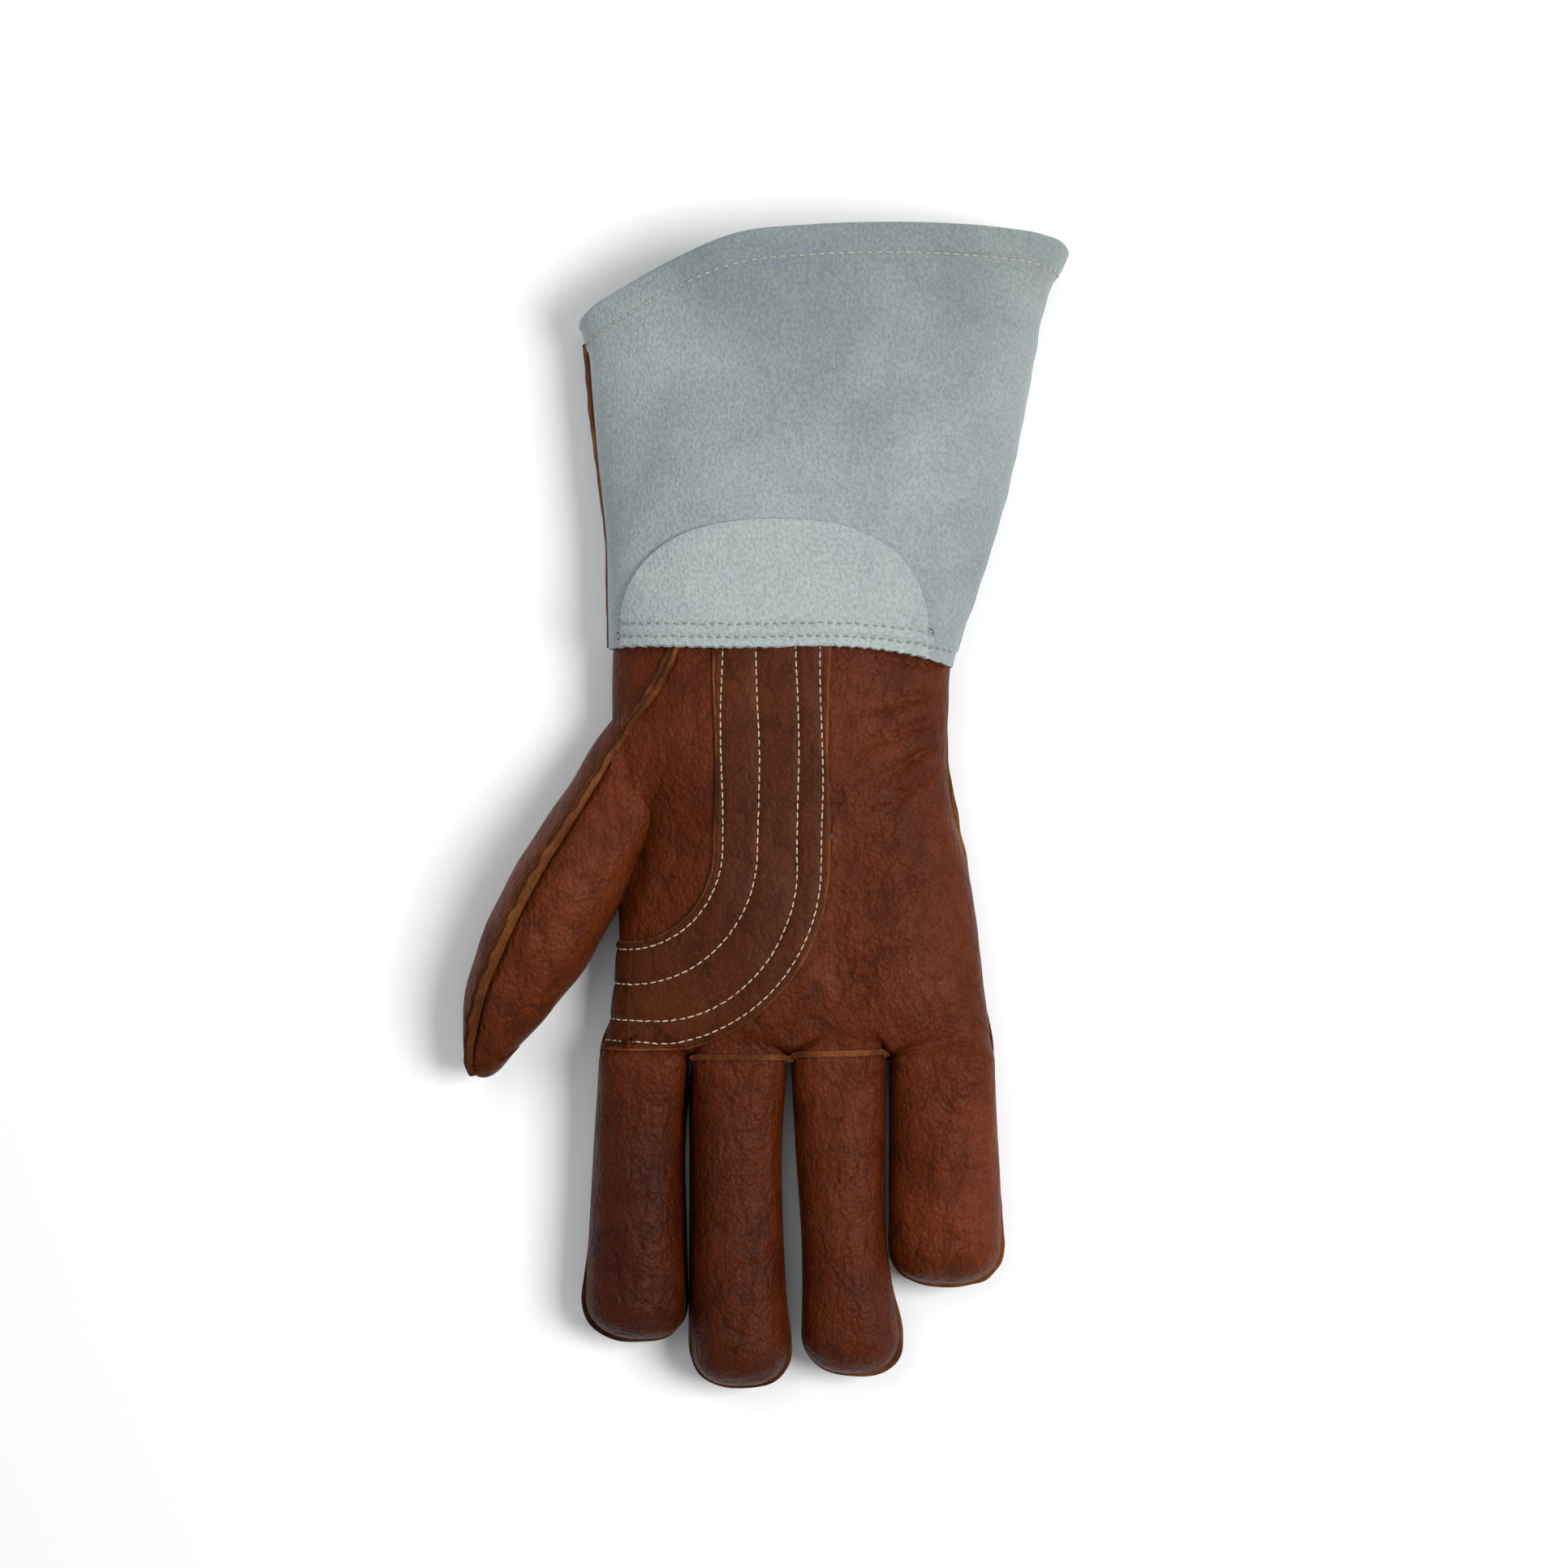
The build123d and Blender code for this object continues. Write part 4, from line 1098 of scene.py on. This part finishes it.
def split_leather(name, dark, base, light, nap=1.0):
    """Split leather: clouds of tone where the nap lies differently, fine fibres, and a felt-like relief."""
    material, tree, skin = shader(name, base, 0.95, specular=0.12, sheen=0.35)
    skin.inputs["Sheen Roughness"].default_value = 0.5
    cloud = texture(tree, "Noise", 17.0, Detail=4.0, Roughness=0.55, Distortion=0.4)
    brushed = texture(tree, "Noise", 95.0, (1, 0.7, 1), Detail=5.0, Roughness=0.7)
    clumps = texture(tree, "Noise", 1050.0, (1, 0.8, 1), Detail=2.5, Roughness=0.55)
    fibre = texture(tree, "Noise", 1500.0, Detail=3.0, Roughness=0.7)
    tone = tones(tree, cloud.outputs["Fac"], [(0.36, dark), (0.5, base), (0.66, light)])
    brush = tones(tree, brushed.outputs["Fac"], [(0.3, (0.95, 0.95, 0.955)), (0.7, (1.03, 1.03, 1.025))])
    fleck = tones(tree, clumps.outputs["Fac"], [(0.36, (0.82, 0.82, 0.82)), (0.64, (1.06, 1.06, 1.06))])
    # Painted shade on the cuff's little-finger side; the suede is also darker towards the mouth
    mouth = tones(tree, way_along(tree, "Y", 0.150, 0.182), [(0, (1, 1, 1)), (1, (0.84, 0.84, 0.83))])
    far_side_shade = tones(tree, way_along(tree, "X", 0.02, 0.07), [(0, (1, 1, 1)), (1, (0.90, 0.89, 0.885))])
    tree.links.new(times(tree, tone, brush, fleck, mouth, far_side_shade), skin.inputs["Base Color"])
    relief(tree, skin, [
        (clumps.outputs["Fac"], 0.75 * nap, 0.0008),
        (fibre.outputs["Fac"], 0.35 * nap, 0.0003),
    ])
    return material


cuff_suede = split_leather("cuff_suede", (0.215, 0.252, 0.262), (0.265, 0.305, 0.312), (0.312, 0.350, 0.350))
CUFF_LEFT = (
    [50, 62, 80, 95, 110, 125, 140, 152, 157, 162, 175, 195],
    [-52.6, -52.6, -52.9, -53.2, -54.7, -56.3, -57.6, -58.6, -59.3, -61.6, -62.5, -63.5],
)
CUFF_RIGHT = (
    [50, 57, 65, 72, 80, 95, 110, 125, 140, 152, 166, 174, 180, 186, 195],
    [51.6, 52.6, 54.8, 57.2, 60.0, 64.8, 69.1, 72.5, 75.4, 77.6, 80.2, 82.8, 86.0, 88.2, 89.0],
)
CUFF_PEAK = ([50, 62, 90, 120, 160, 195], [33.6, 34.4, 35.6, 36.0, 36.6, 37.2])
CUFF_SQUARE = 2.7
MOUTH = (
    [-66, -62.0, -57, -50, -34, -15, 10, 38, 66, 80, 86, 90],
    [156, 159.5, 164.2, 168.2, 176.6, 184.6, 187.6, 188.2, 187.0, 185.4, 183.6, 180],
)
CUFF_COLS, CUFF_ROWS = 170, 150


def cuff_edge_y(x):
    """Lower edge of the cuff: nearly straight, then dropping towards the little-finger side."""
    ragged = 0.16 * np.sin(x * 1.7) + 0.12 * np.sin(x * 3.1 + 1) + 0.25 * np.sin(x * 0.11)
    return cuff_low[1] + 0.5 + ragged - 5.2e-5 * np.clip(x - 5, 0, None) ** 3


def cuff_relief_height(x, y):
    """Soft ripples of the suede, and a hollow towards the little-finger side above the wrist."""
    ripple = 1.1 * hump(x - 0.55 * (y - 90), 34, 13) - 1.4 * hump(x - 0.50 * (y - 90), 52, 10)
    return (
        ripple * soft_step(y, 64, 100) + swell(x, y, 51, 60, 1.6) + swell(x, y, 52, 26, 0.4)
        - 0.6 * hump(y, 84, 10) * hump(x, 30, 30)
    )


def cuff_half(front, rows=CUFF_ROWS):
    """One cuff panel from its lower edge to the mouth: sections along Y between the two side edges."""
    turn = np.linspace(0, np.pi, CUFF_COLS)[None, :]
    v = np.linspace(0, 1, rows)[:, None]
    y = cuff_low[1] + (cuff_high[1] - cuff_low[1]) * v + 0 * turn
    for _ in range(4):
        left, right = curve_through(*CUFF_LEFT, y), curve_through(*CUFF_RIGHT, y)
        peak = curve_through(*CUFF_PEAK, y) if front else BACK_REST + 0 * y
        x, z = half_section(turn, left, right, SEAM, peak, CUFF_SQUARE if front else BACK_SQUARE)
        edge = cuff_edge_y(x)
        y = edge + (curve_through(*MOUTH, x) - edge) * v
    lift = cuff_relief_height(x, y)
    z = z + (lift * np.sin(turn) ** 0.6 if front else -0.25 * np.abs(lift) * np.sin(turn))
    return np.stack([x, y, z], axis=-1)


# Depth of the turned hem, its stitching's distance from the mouth, and the radius of its fold
HEM_DEEP = 9.0
HEM_ROW = 7.6
EDGE_ROUND = 1.75
cuff_grids = {}
for side, front in (("front", True), ("back", False)):
    sign = 1 if front else -1
    grid = cuff_half(front)
    to_mouth = curve_through(*MOUTH, grid[..., 0]) - grid[..., 1]
    hemmed = 0.9 * (1 - soft_step(to_mouth, HEM_ROW + 0.6, HEM_ROW + 3.0))
    hemmed = hemmed - 0.55 * hump(to_mouth, HEM_ROW, 0.9)
    grid = grid + sign * grid_normals(grid) * hemmed[..., None]
    cuff_grids[side] = grid
    outer_way = sign * grid_normals(grid)[-1]
    over = unit(grid[-1] - grid[-3])
    roll = np.linspace(0, np.pi / 2, 7)[1:, None, None]
    lip_rows = grid[-1] + EDGE_ROUND * (over * np.sin(roll) - outer_way * (1 - np.cos(roll)))
    piece = shell(f"cuff_{side}_suede", np.concatenate([grid, lip_rows]), SUEDE, cuff_suede, sign)
    stand_for(piece, "cuff_suede", f"cuff_{side}")
    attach(piece, "cuff")
    roll = np.linspace(np.pi / 2, np.pi, 7)[:, None, None]
    turned = grid[-1] + EDGE_ROUND * (over * np.sin(roll) - outer_way * (1 - np.cos(roll)))
    inside_rows = np.linspace(0, 1, 12)[1:, None, None]
    down = turned[-1] - over * HEM_DEEP * inside_rows - outer_way * 0.25 * np.sin(inside_rows * np.pi)
    piece = shell(f"cuff_hem_{side}", np.concatenate([turned, down]), SUEDE - 0.2, cuff_suede, sign)
    stand_for(piece, "cuff_suede", "cuff_hem")
    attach(piece, "cuff")

# Stitching along the hem, on both faces, in olive-grey thread
hem_thread, hem_tree, hem_skin = shader("hem_thread", (0.42, 0.42, 0.33), 0.8, 0.2, sheen=0.2)
twist = texture(hem_tree, "Noise", 1800.0, Detail=2.0)
painted(hem_tree, hem_skin, twist.outputs["Fac"], [(0.35, (0.30, 0.31, 0.25)), (0.7, (0.45, 0.46, 0.37))])
join_thread, _, _ = shader("join_thread", (0.215, 0.232, 0.200), 0.85, 0.15)
hem_lines = []
for side, front in (("front", True), ("back", False)):
    grid = cuff_grids[side]
    mouth_x = np.linspace(grid[-1, 6, 0], grid[-1, -7, 0], 300)
    row, col = locate(grid, mouth_x, curve_through(*MOUTH, mouth_x) - HEM_ROW)
    up = sample(grid_normals(grid) * (1 if front else -1), row, col)
    hem_lines.append((sample(grid, row, col) + 0.15 * up, up))
piece = stitches("hem_stitches", hem_lines, 2.9, 2.1, 0.5, hem_thread)
stand_for(piece, "cream_thread", "hem_stitching")
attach(piece, "cuff")

# ---------------------------------------------------------------------------------------------------------
# Half-moon patch: a second layer of paler split leather over the pulse, its straight side caught in the two
# rows of stitching that join the cuff to the hand.
# ---------------------------------------------------------------------------------------------------------
moon_suede = split_leather("moon_suede", (0.275, 0.320, 0.318), (0.312, 0.360, 0.355), (0.352, 0.398, 0.388))
moon_low, moon_high = corners("vein_patch")
MOON_MIDDLE, MOON_HALF = (moon_low[0] + moon_high[0]) / 2, (moon_high[0] - moon_low[0]) / 2
MOON_BASE = cuff_low[1] + 4
MOON_RISE = moon_high[1] - 1.8 - MOON_BASE
MOON_THICK = 1.4
MOON_SQUARE = 2.45
front_grid = cuff_grids["front"]
front_up = grid_normals(front_grid)
moon_turn = np.linspace(0, np.pi, 120)[None, :]
moon_v = np.linspace(0, 1, 60)[:, None]
arc_x = MOON_MIDDLE - MOON_HALF * np.sign(np.cos(moon_turn)) * np.abs(np.cos(moon_turn)) ** (2 / MOON_SQUARE)
arc_y = MOON_BASE + MOON_RISE * np.sin(moon_turn) ** (2 / MOON_SQUARE)
base_y = cuff_edge_y(arc_x) + 0.4
moon_x = arc_x + 0 * moon_v
moon_y = base_y + (arc_y - base_y) * moon_v
row, col = locate(front_grid, moon_x, moon_y)
up = unit(sample(front_up, row, col))
# The two joining rows, and how far they follow the dip of the cuff's lower edge
JOIN_ROWS = (cuff_low[1] + 3.7, cuff_low[1] + 7.6)
JOIN_FOLLOW = 0.75
drop = cuff_edge_y(moon_x) - cuff_edge_y(0.0)
sunk = sum(hump(moon_y, r + drop * JOIN_FOLLOW, 0.8) for r in JOIN_ROWS)
thick = MOON_THICK - 0.5 * sunk + 0.25 * hump(moon_y, sum(JOIN_ROWS) / 2, 1.2)
thick = thick - 0.35 * (moon_v > 0.995)
moon_grid = sample(front_grid, row, col) + up * thick[..., None]
piece = shell("half_moon_patch", moon_grid, MOON_THICK + 0.4, moon_suede, 1)
stand_for(piece, "moon_suede", "vein_patch")
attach(piece, "cuff")

join_lines = []
for number, row_y in enumerate(JOIN_ROWS):
    first = MOON_MIDDLE - MOON_HALF + (0.8 if number else -1.5)
    last = MOON_MIDDLE + MOON_HALF - 0.8 if number else CUFF_RIGHT[1][0] + 0.5
    row_x = np.linspace(first, last, 240)
    y = row_y + (cuff_edge_y(row_x) - cuff_edge_y(0.0)) * JOIN_FOLLOW
    row, col = locate(front_grid, row_x, y)
    up = unit(sample(front_up, row, col))
    inside = soft_step(np.abs(row_x - MOON_MIDDLE), MOON_HALF + 0.4, MOON_HALF - 1.2)
    high = (MOON_THICK - 0.5) * inside + 0.15
    join_lines.append((sample(front_grid, row, col) + up * high[:, None], up))
piece = stitches("cuff_join_stitches", join_lines, 2.8, 1.7, 0.5, join_thread)
stand_for(piece, "cream_thread", "cuff_join_stitching")
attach(piece, "cuff")

# ---------------------------------------------------------------------------------------------------------
# Sides of the cuff: a strip of the brown leather is folded into the seam on the thumb side, and the seam on
# the little-finger side is plain, its two raw suede edges left standing.
# ---------------------------------------------------------------------------------------------------------
welt_y = np.linspace(welt_high[1], welt_low[1] - 3, 110)
welt_line = np.stack([curve_through(*CUFF_LEFT, welt_y) + 0.4, welt_y, SEAM + 1.0 + 0 * welt_y], axis=-1)
welt_out = (1.0 + 1.3 * soft_step(welt_y, 95, 150)) * uneven(len(welt_y), 85, 0.08)
welt_way = np.array([-1.0, 0, 0.35]) + 0 * welt_line
piece = lip("cuff_side_strip", welt_line, welt_way, welt_out, 4.4, raw_edge, notch=0.1)
stand_for(piece, "raw_edge", "cuff_side_welt")
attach(piece, "cuff")
seam_low, seam_high = corners("cuff_outer_seam")
outer_y = np.linspace(seam_high[1] - 7, seam_low[1], 120)
outer_line = np.stack([curve_through(*CUFF_RIGHT, outer_y) - 0.4, outer_y, SEAM + 0 * outer_y], axis=-1)
outer_way = np.array([1.0, 0, 0.1]) + 0 * outer_line
outer_high = 1.1 * uneven(len(outer_y), 86, 0.1)
piece = lip("cuff_outer_seam_edge", outer_line, outer_way, outer_high, 2.6, cuff_suede)
stand_for(piece, "cuff_suede", "cuff_outer_seam")
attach(piece, "cuff")

# ---------------------------------------------------------------------------------------------------------
# Stage: a pale floor, soft studio light from the little-finger side, and a camera straight above the palm
# ---------------------------------------------------------------------------------------------------------
FLOOR = 4000.0
FLOOR_Z = -0.6
floor_paint, _, _ = shader("floor_paint", (0.86, 0.86, 0.86), 0.9, 0.1)
floor_corners = np.array([(-FLOOR, -FLOOR), (FLOOR, -FLOOR), (FLOOR, FLOOR), (-FLOOR, FLOOR)])
floor_points = np.column_stack([floor_corners, np.full(4, FLOOR_Z)])
put_mesh("floor", floor_points, [(0, 1, 2, 3)], floor_paint)

world = bpy.data.worlds.new("studio")
world.use_nodes = True
world.node_tree.nodes["Background"].inputs["Color"].default_value = (0.93, 0.96, 1.0, 1)
world.node_tree.nodes["Background"].inputs["Strength"].default_value = 0.42
bpy.context.scene.world = world


def lamp(name, place, aim, size, power, colour=(1, 1, 1)):
    """Square soft box at place, turned to face aim."""
    light = bpy.data.lights.new(name, "AREA")
    light.size, light.energy, light.color = size, power, colour
    body = bpy.data.objects.new(name, light)
    body.location = place
    direction = np.array(aim) - np.array(place)
    body.rotation_euler = Vector(direction).to_track_quat("-Z", "Y").to_euler()
    bpy.context.scene.collection.objects.link(body)


lamp("key", (0.75, 0.0, 1.1), (0, 0, 0), 0.6, 17)
lamp("fill", (-0.7, 0.8, 1.3), (0, 0, 0), 1.6, 9)

camera = bpy.data.objects.new("camera", bpy.data.cameras.new("camera"))
camera.data.lens, camera.data.sensor_width = 85.0, 36.0
VIEW_WIDTH = 0.4792
camera.location = (0.001, 0.0213, 0.015 + VIEW_WIDTH * camera.data.lens / camera.data.sensor_width)
bpy.context.scene.collection.objects.link(camera)
bpy.context.scene.camera = camera
bpy.context.scene.view_settings.view_transform = "Standard"
